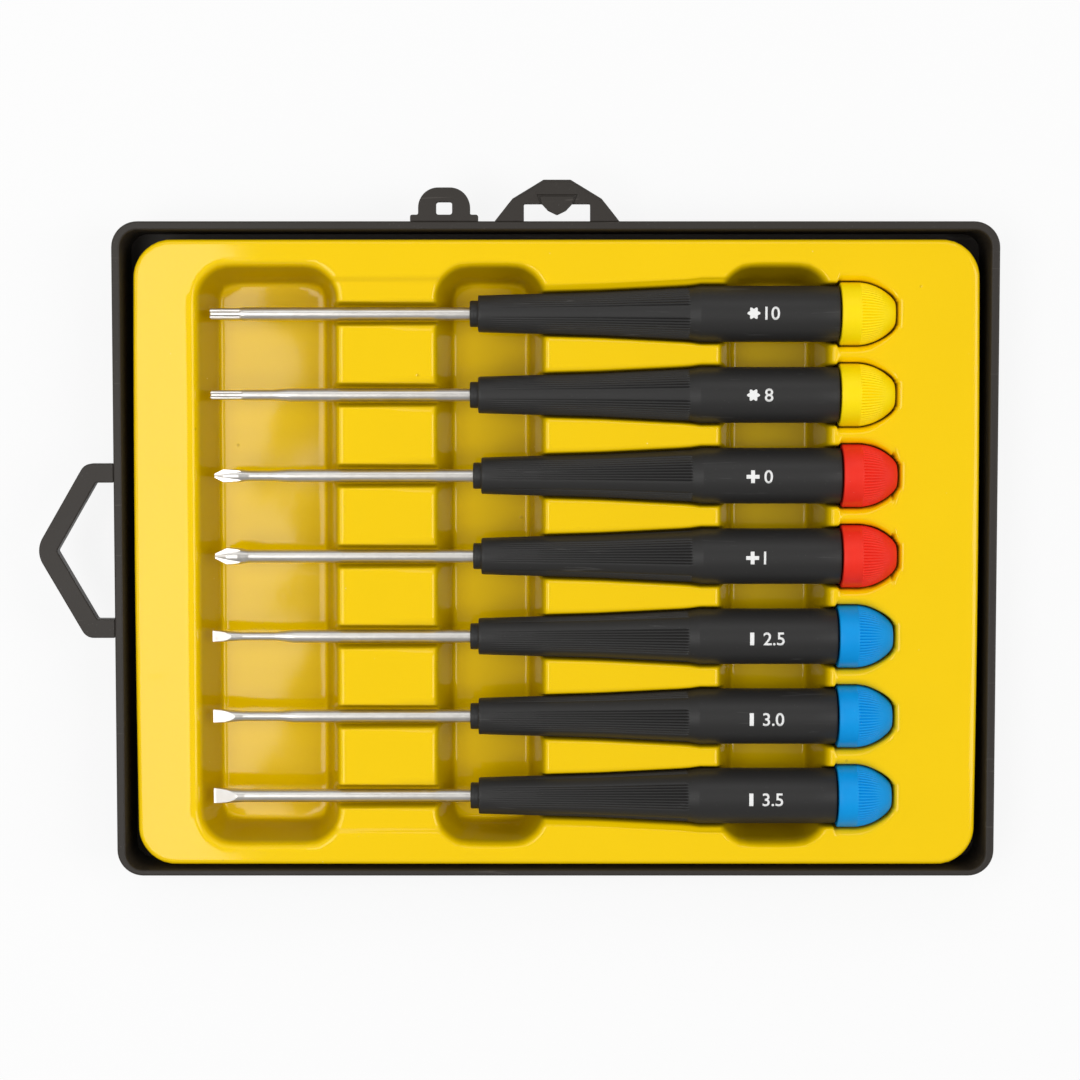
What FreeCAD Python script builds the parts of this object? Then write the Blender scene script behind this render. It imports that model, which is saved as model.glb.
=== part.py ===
import FreeCAD, Part
import math
import os
from collections import namedtuple

# Precision screwdriver set: seven small drivers with swivel caps in a formed tray, in an open case.
#
# Millimetres. The origin is the centre of the case's underside. +X runs from the blade tips to the
# caps, +Y to the side with the hang tab, and +Z out of the open face.
#
# The sizes are set from the inside out: drivers, then the nest round them, the tray, and the case.

# ------------------------------------------------------------------ driving dimensions: drivers
Driver = namedtuple("Driver", "name tip tip_width tip_length neck_diameter neck_end shaft_from shift")

# tip_width is over the points, the wings or the flat of the tip. neck_end and shaft_from are
# distances from the end of the blade; shift is where the driver lies in its loose nest, along X.
SHAFT_DIAMETER = 3.0
DRIVERS = (
    Driver("star_t10", "star", 2.74, 6.7, SHAFT_DIAMETER, 9.0, 10.0, 0.0),
    Driver("star_t8", "star", 2.31, 7.0, 2.4, 14.8, 18.2, 0.0),
    Driver("cross_ph0", "cross", 3.0, 6.9, 2.4, 13.6, 17.1, 0.7),
    Driver("cross_ph1", "cross", 3.9, 6.6, SHAFT_DIAMETER, 10.5, 11.0, 0.7),
    Driver("slot_2_5", "slot", 2.5, 5.8, 1.9, 14.6, 19.0, 0.0),
    Driver("slot_3_0", "slot", 3.0, 5.8, 2.3, 15.8, 19.0, 0.0),
    Driver("slot_3_5", "slot", 3.5, 6.0, SHAFT_DIAMETER, 9.0, 10.0, 0.0),
)
DRIVER_PITCH = 18.7
BLADE_REACH = 60.0
BLADE_TANG = 25.0
TANG_FLAT_LENGTH = 10.0
TANG_FLAT_THICKNESS = 2.4

COLLAR_DIAMETER = 6.1
COLLAR_LENGTH = 1.9
GRIP_NOSE_DIAMETER = 8.5
GRIP_WAIST_FROM_NOSE = 29.9
GRIP_WAIST_DIAMETER = 10.1
GRIP_END_DIAMETER = 12.1
BARREL_SWELL_LENGTH = 2.5
BARREL_LENGTH = 32.0
BARREL_DIAMETER = 12.95
HANDLE_LENGTH = 85.1
HANDLE_END_CHAMFER = 0.4

CAP_LENGTH = 12.7
CAP_DIAMETER = 14.6
CAP_BAND_LENGTH = 4.2
CAP_SHOULDER_DIAMETER = 7.8
CAP_END_DIAMETER = 5.8
CAP_END_ROUNDING = 0.8
CAP_BULGE = 0.75
CAP_TO_HANDLE_GAP = 0.3
SPIGOT_DIAMETER = 7.0
SPIGOT_LENGTH = 8.0
SPIGOT_CLEARANCE = 0.08
SNAP_GROOVE_DEPTH = 0.4
SNAP_GROOVE_WIDTH = 1.4
SNAP_GROOVE_FROM_END = 1.6

STAR_FLUTE_TO_POINT = 0.72
STAR_FLUTE_RADIUS_TO_POINT = 0.36
PH_TIP_FLAT = 0.3
PH_POINT_FLAT_TO_WIDTH = 0.3
PH_CONE_HALF_ANGLE = 26.5
PH_FLUTE_HALF_ANGLE = 46.0
SLOT_TIP_THICKNESS_TO_WIDTH = 0.16
SHOULDER_RUN = 1.2
TIP_CHAMFER = 0.25

# --------------------------------------------------------------------- driving dimensions: tray
SHEET_THICKNESS = 0.8
NEST_CLEARANCE = 0.35
NEST_TIP_CLEARANCE = 0.75
NEST_END_PLAY = 0.8
CAP_NEST_FLARE = 1.3
SHAFT_CHANNEL_WIDTH = 4.5
SHAFT_CLEARANCE = 0.3
BLOCK_DROP = 1.0
BLOCK_SIDE_LEDGE = 8.2
GRIP_SIDE_LEDGE = 1.8

WELL_WALL_RUN = 3.5
WELL_CORNER_RADIUS = 5.0
WELL_FLOOR_RADIUS = 2.5
WELL_PAST_OUTER_DRIVER = 11.2
TIP_WELL_BEFORE_TIPS = 3.1
TIP_WELL_LENGTH = 32.7
NOSE_WELL_BEFORE_NOSES = 8.1
NOSE_WELL_LENGTH = 25.5
FINGER_WELL_BEFORE_CAPS = 1.9
FINGER_WELL_LENGTH = 25.5

TRAY_BEFORE_TIPS = 18.5
TRAY_PAST_CAPS = 20.4
TRAY_PAST_TOP_DRIVER = 17.8
TRAY_PAST_BOTTOM_DRIVER = 16.6
TRAY_CORNER_RADIUS = 9.5
TRAY_SKIRT_DRAFT = 0.8
TRAY_EDGE_RADIUS = 1.2

# --------------------------------------------------------------------- driving dimensions: case
CASE_HEIGHT = 18.5
CASE_WALL = 2.0
CASE_BOTTOM_SIDE_WALL = 1.4
CASE_FLOOR = 1.6
CASE_CORNER_RADIUS = 6.0
CASE_BOTTOM_RADIUS = 1.0
RIM_CHAMFER = 0.3
RIM_ABOVE_TRAY = 0.8
DRIVER_AXIS_BELOW_TRAY_TOP = 3.0
TRAY_GAP_LEFT = 1.7
TRAY_GAP_RIGHT = 1.3
TRAY_GAP_TOP = 1.3
TRAY_GAP_BOTTOM = 0.3

HANDLE_LOOP_SPAN = 40.4
HANDLE_LOOP_BAR = 4.4
HANDLE_LOOP_ARM = 6.7
HANDLE_LOOP_SLOPE = 30.0
HANDLE_LOOP_APEX_RADIUS = 6.0
HANDLE_LOOP_CORNER_RADIUS = 3.0
HANDLE_LOOP_INNER_RADIUS = 0.6
HANDLE_LOOP_THICKNESS = 4.0
HANDLE_LOOP_BELOW_RIM = 0.4

TAB_THICKNESS = 2.5
HANG_TAB_X = 0.3
HANG_TAB_BASE_WIDTH = 28.6
HANG_TAB_SHOULDER_WIDTH = 20.4
HANG_TAB_SHOULDER_HEIGHT = 5.2
HANG_TAB_TOP_WIDTH = 6.2
HANG_TAB_HEIGHT = 9.5
HANG_TAB_CHAMFER = 0.55
HANG_SLOT_WIDTH = 15.2
HANG_SLOT_HEIGHT = 3.95
HANG_TOOTH_WIDTH = 6.9
HANG_TOOTH_DROP = 2.5
HANG_TOOTH_KNEE = 0.6
HANG_TOOTH_KNEE_RADIUS = 0.8
HANG_TOOTH_TIP_RADIUS = 0.5
HANG_SLOT_RADIUS = 0.3
HANG_TOOTH_MARK_WIDTH = 9.3
HANG_TOOTH_MARK_RISE = 2.1
HANG_TOOTH_MARK_GROOVE = 0.35

LOCK_TAB_X = -25.6
LOCK_TAB_EAR_WIDTH = 15.6
LOCK_TAB_EAR_HEIGHT = 1.5
LOCK_TAB_EAR_RADIUS = 0.5
LOCK_TAB_ROOT_RADIUS = 0.4
LOCK_TAB_WIDTH = 11.9
LOCK_TAB_HEIGHT = 7.7
LOCK_TAB_TOP_RADIUS = 4.6
LOCK_HOLE_WIDTH = 3.7
LOCK_HOLE_HEIGHT = 2.9
LOCK_HOLE_FROM_CASE = 1.5
LOCK_HOLE_RADIUS = 0.6

# ------------------------------------------------------------------------ sizes that follow
NEST_SPAN = DRIVER_PITCH * (len(DRIVERS) - 1)
NEST_SHIFT = max(driver.shift for driver in DRIVERS)
DRIVER_LENGTH = BLADE_REACH + HANDLE_LENGTH + CAP_TO_HANDLE_GAP + CAP_LENGTH
TRAY_LENGTH = TRAY_BEFORE_TIPS + DRIVER_LENGTH + TRAY_PAST_CAPS
TRAY_WIDTH = TRAY_PAST_TOP_DRIVER + NEST_SPAN + TRAY_PAST_BOTTOM_DRIVER
CASE_LENGTH = TRAY_LENGTH + TRAY_GAP_LEFT + TRAY_GAP_RIGHT + 2 * CASE_WALL
CASE_WIDTH = TRAY_WIDTH + TRAY_GAP_TOP + TRAY_GAP_BOTTOM + CASE_WALL + CASE_BOTTOM_SIDE_WALL

TRAY_X0 = -CASE_LENGTH / 2 + CASE_WALL + TRAY_GAP_LEFT
TRAY_X1 = TRAY_X0 + TRAY_LENGTH
TRAY_Y0 = -CASE_WIDTH / 2 + CASE_BOTTOM_SIDE_WALL + TRAY_GAP_BOTTOM
TRAY_Y1 = TRAY_Y0 + TRAY_WIDTH
TRAY_TOP = CASE_HEIGHT - RIM_ABOVE_TRAY
WELL_FLOOR = CASE_FLOOR + SHEET_THICKNESS
AXIS_Z = TRAY_TOP - DRIVER_AXIS_BELOW_TRAY_TOP

TIP_X = TRAY_X0 + TRAY_BEFORE_TIPS
NOSE_X = TIP_X + BLADE_REACH
CAP_SEAT_X = NOSE_X + HANDLE_LENGTH
CAP_END_X = CAP_SEAT_X + CAP_TO_HANDLE_GAP + CAP_LENGTH
TOP_ROW_Y = TRAY_Y1 - TRAY_PAST_TOP_DRIVER
BOTTOM_ROW_Y = TOP_ROW_Y - NEST_SPAN
ROWS_Y = [TOP_ROW_Y - DRIVER_PITCH * row for row in range(len(DRIVERS))]

# Overshoot of a cutting solid past the surface that it opens.
OVER = 1.0


# --------------------------------------------------------------------------- drawing helpers
def vec(x, y, z=0.0):
    return FreeCAD.Vector(x, y, z)


def rounded_outline(corners, z=0.0):
    """Closed wire through (x, y, radius) corners, each rounded by its radius; 0 stays sharp."""
    edges = []
    ends = []
    count = len(corners)
    for i, (x, y, radius) in enumerate(corners):
        corner = vec(x, y)
        before = vec(*corners[i - 1][:2]) - corner
        after = vec(*corners[(i + 1) % count][:2]) - corner
        half_angle = before.getAngle(after) / 2
        setback = radius / math.tan(half_angle) if radius else 0.0
        start = corner + before.normalize() * setback
        end = corner + after.normalize() * setback
        inward = before + after
        if radius:
            to_middle = radius / math.sin(half_angle) - radius
            middle = corner + inward.normalize() * to_middle
            edges.append((start, middle, end))
        ends.append((start, end))
    lift = vec(0, 0, z)
    drawn = [Part.Arc(a + lift, b + lift, c + lift).toShape() for a, b, c in edges]
    for i in range(count):
        a = ends[i][1] + lift
        b = ends[(i + 1) % count][0] + lift
        if a.distanceToPoint(b) > 1e-6:
            drawn.append(Part.makeLine(a, b))
    return Part.Wire(Part.__sortEdges__(drawn))


def rectangle(x0, x1, y0, y1, radius, z=0.0):
    """Rounded rectangle, as a closed wire at height z."""
    return rounded_outline([(x0, y0, radius), (x1, y0, radius), (x1, y1, radius), (x0, y1, radius)], z)


def plate(outline, z0, z1):
    """Solid of a closed wire at z = 0, from height z0 to z1."""
    solid = Part.Face(outline).extrude(vec(0, 0, z1 - z0))
    solid.translate(vec(0, 0, z0))
    return solid


def straight_outline(points, z=0.0):
    """Closed wire of straight edges through (x, y) points."""
    return rounded_outline([(x, y, 0.0) for x, y in points], z)


def turned(profile):
    """Solid of revolution about the X axis, from (x, radius) points that begin and end on it."""
    outline = Part.makePolygon([vec(x, radius) for x, radius in profile + profile[:1]])
    return Part.Face(outline).revolve(vec(0, 0, 0), vec(1, 0, 0), 360)


def grown(profile, by):
    """(x, radius) points moved outward by a clearance, with their far end moved on as well."""
    end = profile[-1][0]
    return [(x + (by if x == end else 0.0), radius + by) for x, radius in profile]


# --------------------------------------------------------------------------------- the blades
def star_tip_cutters(driver):
    """Six round flutes between the points of a star tip."""
    point_radius = driver.tip_width / 2
    root_radius = point_radius * STAR_FLUTE_TO_POINT
    flute_radius = STAR_FLUTE_RADIUS_TO_POINT * point_radius
    cutters = []
    for lobe in range(6):
        angle = math.radians(60 * lobe)
        reach = root_radius + flute_radius
        centre = vec(-OVER, reach * math.cos(angle), reach * math.sin(angle))
        flute = Part.makeCylinder(flute_radius, OVER + driver.tip_length, centre, vec(1, 0, 0))
        end_ball = Part.makeSphere(flute_radius, centre + vec(OVER + driver.tip_length, 0, 0))
        cutters.append(flute.fuse(end_ball))
    return cutters


def cross_tip_cutters(driver):
    """Four V grooves between the wings of a cross tip, each running out at the end of the wings."""
    wing_radius = driver.tip_width / 2
    opening = 2 * wing_radius
    spread = opening * math.tan(math.radians(PH_FLUTE_HALF_ANGLE))
    sections = []
    for x, root in ((-TIP_CHAMFER, PH_TIP_FLAT / 2), (driver.tip_length, wing_radius)):
        corners = [vec(x, root, 0), vec(x, root + opening, spread), vec(x, root + opening, -spread)]
        sections.append(Part.makePolygon(corners + corners[:1]))
    groove = Part.makeLoft(sections, True, True)
    cutters = []
    for wing in range(4):
        turned_groove = groove.copy()
        turned_groove.rotate(vec(0, 0, 0), vec(1, 0, 0), 90 * wing + 45)
        cutters.append(turned_groove)
    return cutters


def slot_tip_cutters(driver):
    """Two wedges that leave the flat of a slotted tip between them."""
    tip_half = driver.tip_width * SLOT_TIP_THICKNESS_TO_WIDTH / 2
    high = driver.tip_width
    slope_end = driver.neck_diameter / 2
    cutters = []
    for side in (1, -1):
        corners = [
            vec(-OVER, -high, side * tip_half),
            vec(TIP_CHAMFER, -high, side * tip_half),
            vec(driver.tip_length, -high, side * slope_end),
            vec(driver.tip_length, -high, side * high),
            vec(-OVER, -high, side * high),
        ]
        outline = Part.makePolygon(corners + corners[:1])
        cutters.append(Part.Face(outline).extrude(vec(0, 2 * high, 0)))
    return cutters


def tip_profile(driver):
    """(distance from the tip, radius) points of the turned end of a blade, before its cuts."""
    wide = driver.tip_width / 2
    if driver.tip == "cross":
        flat = PH_POINT_FLAT_TO_WIDTH * wide
        cone = (wide - flat) / math.tan(math.radians(PH_CONE_HALF_ANGLE))
        return [(0, flat), (cone, wide), (driver.tip_length - SHOULDER_RUN, wide)]
    if driver.tip == "slot":
        return [(0, wide), (driver.tip_length / 2, wide)]
    return [(0, wide - TIP_CHAMFER), (TIP_CHAMFER, wide), (driver.tip_length, wide)]


TIP_CUTTERS = {"star": star_tip_cutters, "cross": cross_tip_cutters, "slot": slot_tip_cutters}


def blade(driver):
    """Blade with its tip at x = 0: tip, neck, shaft, and a tang flattened to hold in the handle."""
    neck = driver.neck_diameter / 2
    shaft = SHAFT_DIAMETER / 2
    length = BLADE_REACH + BLADE_TANG
    profile = [(0, 0)] + tip_profile(driver)
    profile.append((driver.tip_length + SHOULDER_RUN, neck))
    if neck < shaft:
        profile.append((driver.neck_end, neck))
        profile.append((driver.shaft_from, shaft))
    profile += [(length, shaft), (length, 0)]
    solid = turned(profile)
    for cutter in TIP_CUTTERS[driver.tip](driver):
        solid = solid.cut(cutter)
    for side in (1, -1):
        corner = vec(length - TANG_FLAT_LENGTH, -SHAFT_DIAMETER, TANG_FLAT_THICKNESS / 2)
        flat = Part.makeBox(TANG_FLAT_LENGTH + OVER, 2 * SHAFT_DIAMETER, SHAFT_DIAMETER, corner)
        if side < 0:
            flat.rotate(vec(0, 0, 0), vec(1, 0, 0), 180)
        solid = solid.cut(flat)
    return solid


# -------------------------------------------------------------------------- handles and caps
def grip_profile():
    """(x, radius) points of the handle's outside from the nose at x = 0 to the barrel's end."""
    barrel_from = HANDLE_LENGTH - BARREL_LENGTH
    return [
        (COLLAR_LENGTH, GRIP_NOSE_DIAMETER / 2),
        (GRIP_WAIST_FROM_NOSE, GRIP_WAIST_DIAMETER / 2),
        (barrel_from - BARREL_SWELL_LENGTH, GRIP_END_DIAMETER / 2),
        (barrel_from, BARREL_DIAMETER / 2),
        (HANDLE_LENGTH, BARREL_DIAMETER / 2),
    ]


def spigot_profile(clearance):
    """(x, radius) points of the cap's spigot from the handle's end, grown by a clearance.

    The groove narrows by the same clearance along X, so that the cap's bead runs free in it."""
    radius = SPIGOT_DIAMETER / 2 + clearance
    groove_to = SPIGOT_LENGTH - SNAP_GROOVE_FROM_END - clearance
    groove_from = groove_to - SNAP_GROOVE_WIDTH + 2 * clearance
    root = radius - SNAP_GROOVE_DEPTH
    return [
        (groove_from - SNAP_GROOVE_DEPTH, radius),
        (groove_from, root),
        (groove_to, root),
        (groove_to + SNAP_GROOVE_DEPTH, radius),
        (SPIGOT_LENGTH + clearance, radius),
    ]


def handle(driver_blade):
    """Handle with its nose at x = 0, moulded round the tang and ending in the cap's spigot."""
    outside = grip_profile()
    profile = [(0, 0), (0, COLLAR_DIAMETER / 2), (COLLAR_LENGTH, COLLAR_DIAMETER / 2)]
    profile += outside[:-1]
    profile.append((HANDLE_LENGTH - HANDLE_END_CHAMFER, BARREL_DIAMETER / 2))
    profile.append((HANDLE_LENGTH, BARREL_DIAMETER / 2 - HANDLE_END_CHAMFER))
    profile.append((HANDLE_LENGTH, SPIGOT_DIAMETER / 2))
    profile += [(HANDLE_LENGTH + x, radius) for x, radius in spigot_profile(0.0)]
    profile.append((HANDLE_LENGTH + SPIGOT_LENGTH, 0))
    tang = driver_blade.copy()
    tang.translate(vec(-BLADE_REACH, 0, 0))
    return turned(profile).cut(tang)


def cap_outside():
    """Wire corners of the cap's outside, its open face at x = 0: band, bulging dome, flat end."""
    shoulder_x = CAP_LENGTH - CAP_END_ROUNDING
    band = vec(CAP_BAND_LENGTH, CAP_DIAMETER / 2)
    shoulder = vec(shoulder_x, CAP_SHOULDER_DIAMETER / 2)
    slope = shoulder - band
    outward = vec(-slope.y, slope.x).normalize()
    crown = (band + shoulder) * 0.5 + outward * CAP_BULGE
    return band, crown, shoulder


def cap():
    """Swivel cap with its open face at x = 0, its socket running on the spigot's bead groove."""
    band, crown, shoulder = cap_outside()
    rim = vec(0, CAP_DIAMETER / 2)
    end_edge = vec(CAP_LENGTH, CAP_END_DIAMETER / 2)
    centre = vec(CAP_LENGTH, 0)
    edges = [
        Part.makeLine(vec(0, 0), rim),
        Part.makeLine(rim, band),
        Part.Arc(band, crown, shoulder).toShape(),
        Part.makeLine(shoulder, end_edge),
        Part.makeLine(end_edge, centre),
        Part.makeLine(centre, vec(0, 0)),
    ]
    body = Part.Face(Part.Wire(edges)).revolve(vec(0, 0, 0), vec(1, 0, 0), 360)
    socket = [(-OVER, 0), (-OVER, SPIGOT_DIAMETER / 2 + SPIGOT_CLEARANCE)]
    socket += [(x - CAP_TO_HANDLE_GAP, radius) for x, radius in spigot_profile(SPIGOT_CLEARANCE)]
    socket.append((socket[-1][0], 0))
    return body.cut(turned(socket))


# --------------------------------------------------------------------------------- the tray
def well(x0, x1, grow):
    """Drafted well across the whole nest, from its outline at the tray's top to the tray's floor."""
    y0 = BOTTOM_ROW_Y - WELL_PAST_OUTER_DRIVER - grow
    y1 = TOP_ROW_Y + WELL_PAST_OUTER_DRIVER + grow
    run = WELL_WALL_RUN
    depth = TRAY_TOP - WELL_FLOOR
    over = run * OVER / depth
    floor_z = WELL_FLOOR - grow
    floor = rectangle(
        x0 - grow + run, x1 + grow - run, y0 + run, y1 - run, WELL_FLOOR_RADIUS + grow, floor_z
    )
    mouth = rectangle(
        x0 - grow - over, x1 + grow + over, y0 - over, y1 + over, WELL_CORNER_RADIUS + grow, TRAY_TOP + OVER
    )
    return Part.makeLoft([floor, mouth], True, True)


def wells(grow):
    """The wells under the tips, under the noses, and for fingers under the barrels."""
    tip_from = TIP_X - TIP_WELL_BEFORE_TIPS
    nose_from = NOSE_X - NOSE_WELL_BEFORE_NOSES
    finger_to = CAP_SEAT_X - FINGER_WELL_BEFORE_CAPS
    return [
        well(tip_from, tip_from + TIP_WELL_LENGTH, grow),
        well(nose_from, nose_from + NOSE_WELL_LENGTH, grow),
        well(finger_to - FINGER_WELL_LENGTH, finger_to, grow),
    ]


def block_fields(grow):
    """Shallow recesses that drop the blocks between the shafts and between the grips."""
    floor_z = TRAY_TOP - BLOCK_DROP - grow
    shaft_from = TIP_X - TIP_WELL_BEFORE_TIPS + TIP_WELL_LENGTH / 2
    shaft_to = NOSE_X
    y0 = BOTTOM_ROW_Y - BLOCK_SIDE_LEDGE - grow
    y1 = TOP_ROW_Y + BLOCK_SIDE_LEDGE + grow
    shafts = plate(rectangle(shaft_from, shaft_to, y0, y1, WELL_FLOOR_RADIUS), floor_z, TRAY_TOP + OVER)

    ledge = GRIP_SIDE_LEDGE + grow
    grips = [(NOSE_X + x, radius + ledge) for x, radius in grip_profile()[:-1]]
    grips.append((CAP_SEAT_X - FINGER_WELL_LENGTH / 2, BARREL_DIAMETER / 2 + ledge))
    outline = [(x, TOP_ROW_Y + reach) for x, reach in grips]
    outline += [(x, BOTTOM_ROW_Y - reach) for x, reach in reversed(grips)]
    return [shafts, plate(straight_outline(outline), floor_z, TRAY_TOP + OVER)]


def shaft_channel(y, grow):
    """Channel of one shaft between the wells under the tips and under the noses."""
    half = SHAFT_CHANNEL_WIDTH / 2 + grow
    floor_z = AXIS_Z - SHAFT_DIAMETER / 2 - SHAFT_CLEARANCE - grow
    x0 = TIP_X - TIP_WELL_BEFORE_TIPS + TIP_WELL_LENGTH / 2
    x1 = NOSE_X - NOSE_WELL_BEFORE_NOSES + NOSE_WELL_LENGTH / 2
    return Part.makeBox(x1 - x0, 2 * half, TRAY_TOP + OVER - floor_z, vec(x0, y - half, floor_z))


def grip_nest(y, grow):
    """Round-bottomed nest of one grip and barrel, open upward."""
    half = grown([(NOSE_X + x, radius) for x, radius in grip_profile()], NEST_CLEARANCE + grow)
    start = half[0][0]
    end = half[-1][0]
    outline = [(x, -radius) for x, radius in half] + [(x, radius) for x, radius in reversed(half)]
    upper = plate(straight_outline(outline), 0, TRAY_TOP + OVER - AXIS_Z)
    lower = turned([(start, 0)] + half + [(end, 0)])
    nest = upper.fuse(lower)
    nest.translate(vec(0, y, AXIS_Z))
    return nest


def cap_nest_half(grow):
    """(x, half width) points of a cap's nest: straight past the band, then narrowing to its end."""
    band_end = CAP_SEAT_X + NEST_SHIFT + CAP_TO_HANDLE_GAP + CAP_BAND_LENGTH + NEST_CLEARANCE
    end = CAP_END_X + NEST_SHIFT + NEST_END_PLAY
    side = max(CAP_DIAMETER, BARREL_DIAMETER) / 2 + NEST_CLEARANCE + grow
    tip = CAP_SHOULDER_DIAMETER / 2 + CAP_BULGE + NEST_TIP_CLEARANCE + grow
    start = CAP_SEAT_X - NEST_CLEARANCE
    return [(start - grow, side), (band_end + grow / 2, side), (end + grow, tip)]


def cap_nest(y, grow):
    """Nest of one cap: round below its axis, and flaring out to the tray's top above it."""
    half = cap_nest_half(grow)
    lower = turned([(half[0][0], 0)] + half + [(half[-1][0], 0)])
    height = TRAY_TOP + OVER - AXIS_Z
    flare = CAP_NEST_FLARE * height / DRIVER_AXIS_BELOW_TRAY_TOP
    sections = []
    for wider, z in ((0.0, 0.0), (flare, height)):
        reach = [(x, radius + wider) for x, radius in half[:-1]]
        reach.append((half[-1][0] + wider, half[-1][1] + wider / 2))
        outline = [(x, -radius) for x, radius in reach] + [(x, radius) for x, radius in reversed(reach)]
        sections.append(straight_outline(outline, z))
    nest = Part.makeLoft(sections, True, True).fuse(lower)
    nest.translate(vec(0, y, AXIS_Z))
    return nest


def hollows(grow):
    """Everything that is pressed down into the tray, grown by a wall outward and downward."""
    solids = wells(grow) + block_fields(grow)
    for y in ROWS_Y:
        solids += [shaft_channel(y, grow), grip_nest(y, grow), cap_nest(y, grow)]
    return solids[0].multiFuse(solids[1:])


def tray_block(inset, bottom_z):
    """The tray's outer form as a solid block with a drafted skirt, inset by a wall."""
    draft = TRAY_SKIRT_DRAFT
    radius = TRAY_CORNER_RADIUS
    foot = rectangle(
        TRAY_X0 + inset, TRAY_X1 - inset, TRAY_Y0 + inset, TRAY_Y1 - inset, radius - inset, bottom_z
    )
    top_inset = inset + draft
    top = rectangle(
        TRAY_X0 + top_inset,
        TRAY_X1 - top_inset,
        TRAY_Y0 + top_inset,
        TRAY_Y1 - top_inset,
        radius - top_inset,
        TRAY_TOP - inset,
    )
    block = Part.makeLoft([foot, top], True, True)
    top_edges = [edge for edge in block.Edges if edge.BoundBox.ZMin > TRAY_TOP - inset - 1e-3]
    return block.makeFillet(TRAY_EDGE_RADIUS, top_edges)


def tray():
    """Formed tray: the outside form less the same form set back by the sheet's thickness."""
    outside = tray_block(0.0, CASE_FLOOR).cut(hollows(0.0))
    inside = tray_block(SHEET_THICKNESS, CASE_FLOOR - OVER).cut(hollows(SHEET_THICKNESS))
    return outside.cut(inside)


# --------------------------------------------------------------------------------- the case
def case_base():
    """Open case: floor and four walls round the tray, with a rounded bottom edge."""
    x = CASE_LENGTH / 2
    y = CASE_WIDTH / 2
    body = plate(rectangle(-x, x, -y, y, CASE_CORNER_RADIUS), 0, CASE_HEIGHT)
    bottom_edges = [edge for edge in body.Edges if edge.BoundBox.ZMax < 1e-3]
    body = body.makeFillet(CASE_BOTTOM_RADIUS, bottom_edges)
    inner_radius = CASE_CORNER_RADIUS - CASE_WALL
    inner = rectangle(
        -x + CASE_WALL, x - CASE_WALL, -y + CASE_BOTTOM_SIDE_WALL, y - CASE_WALL, inner_radius
    )
    body = body.cut(plate(inner, CASE_FLOOR, CASE_HEIGHT + OVER))
    rim_edges = [edge for edge in body.Edges if edge.BoundBox.ZMin > CASE_HEIGHT - 1e-3]
    return body.makeChamfer(RIM_CHAMFER, rim_edges)


def carry_handle():
    """Five-sided carrying loop on the case's short side, its two arms ending on the case wall."""
    wall_x = -CASE_LENGTH / 2
    slope = math.tan(math.radians(HANDLE_LOOP_SLOPE))
    bar = HANDLE_LOOP_BAR
    half = HANDLE_LOOP_SPAN / 2
    inner_half = half - bar
    corner_x = wall_x - HANDLE_LOOP_ARM
    apex_x = corner_x - half * slope
    # The sloping bars keep the same width, measured square to them.
    inner_apex_x = apex_x + bar / math.cos(math.radians(HANDLE_LOOP_SLOPE))
    inner_corner_x = inner_apex_x + inner_half * slope
    outer = rounded_outline([
        (wall_x, -half, 0.0),
        (wall_x, half, 0.0),
        (corner_x, half, HANDLE_LOOP_CORNER_RADIUS),
        (apex_x, 0.0, HANDLE_LOOP_APEX_RADIUS),
        (corner_x, -half, HANDLE_LOOP_CORNER_RADIUS),
    ])
    inner = rounded_outline([
        (wall_x + OVER, -inner_half, 0.0),
        (wall_x + OVER, inner_half, 0.0),
        (inner_corner_x, inner_half, HANDLE_LOOP_INNER_RADIUS),
        (inner_apex_x, 0.0, HANDLE_LOOP_INNER_RADIUS),
        (inner_corner_x, -inner_half, HANDLE_LOOP_INNER_RADIUS),
    ])
    top = CASE_HEIGHT - HANDLE_LOOP_BELOW_RIM
    bottom = top - HANDLE_LOOP_THICKNESS
    return plate(outer, bottom, top).cut(plate(inner, bottom - OVER, top + OVER))


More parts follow.
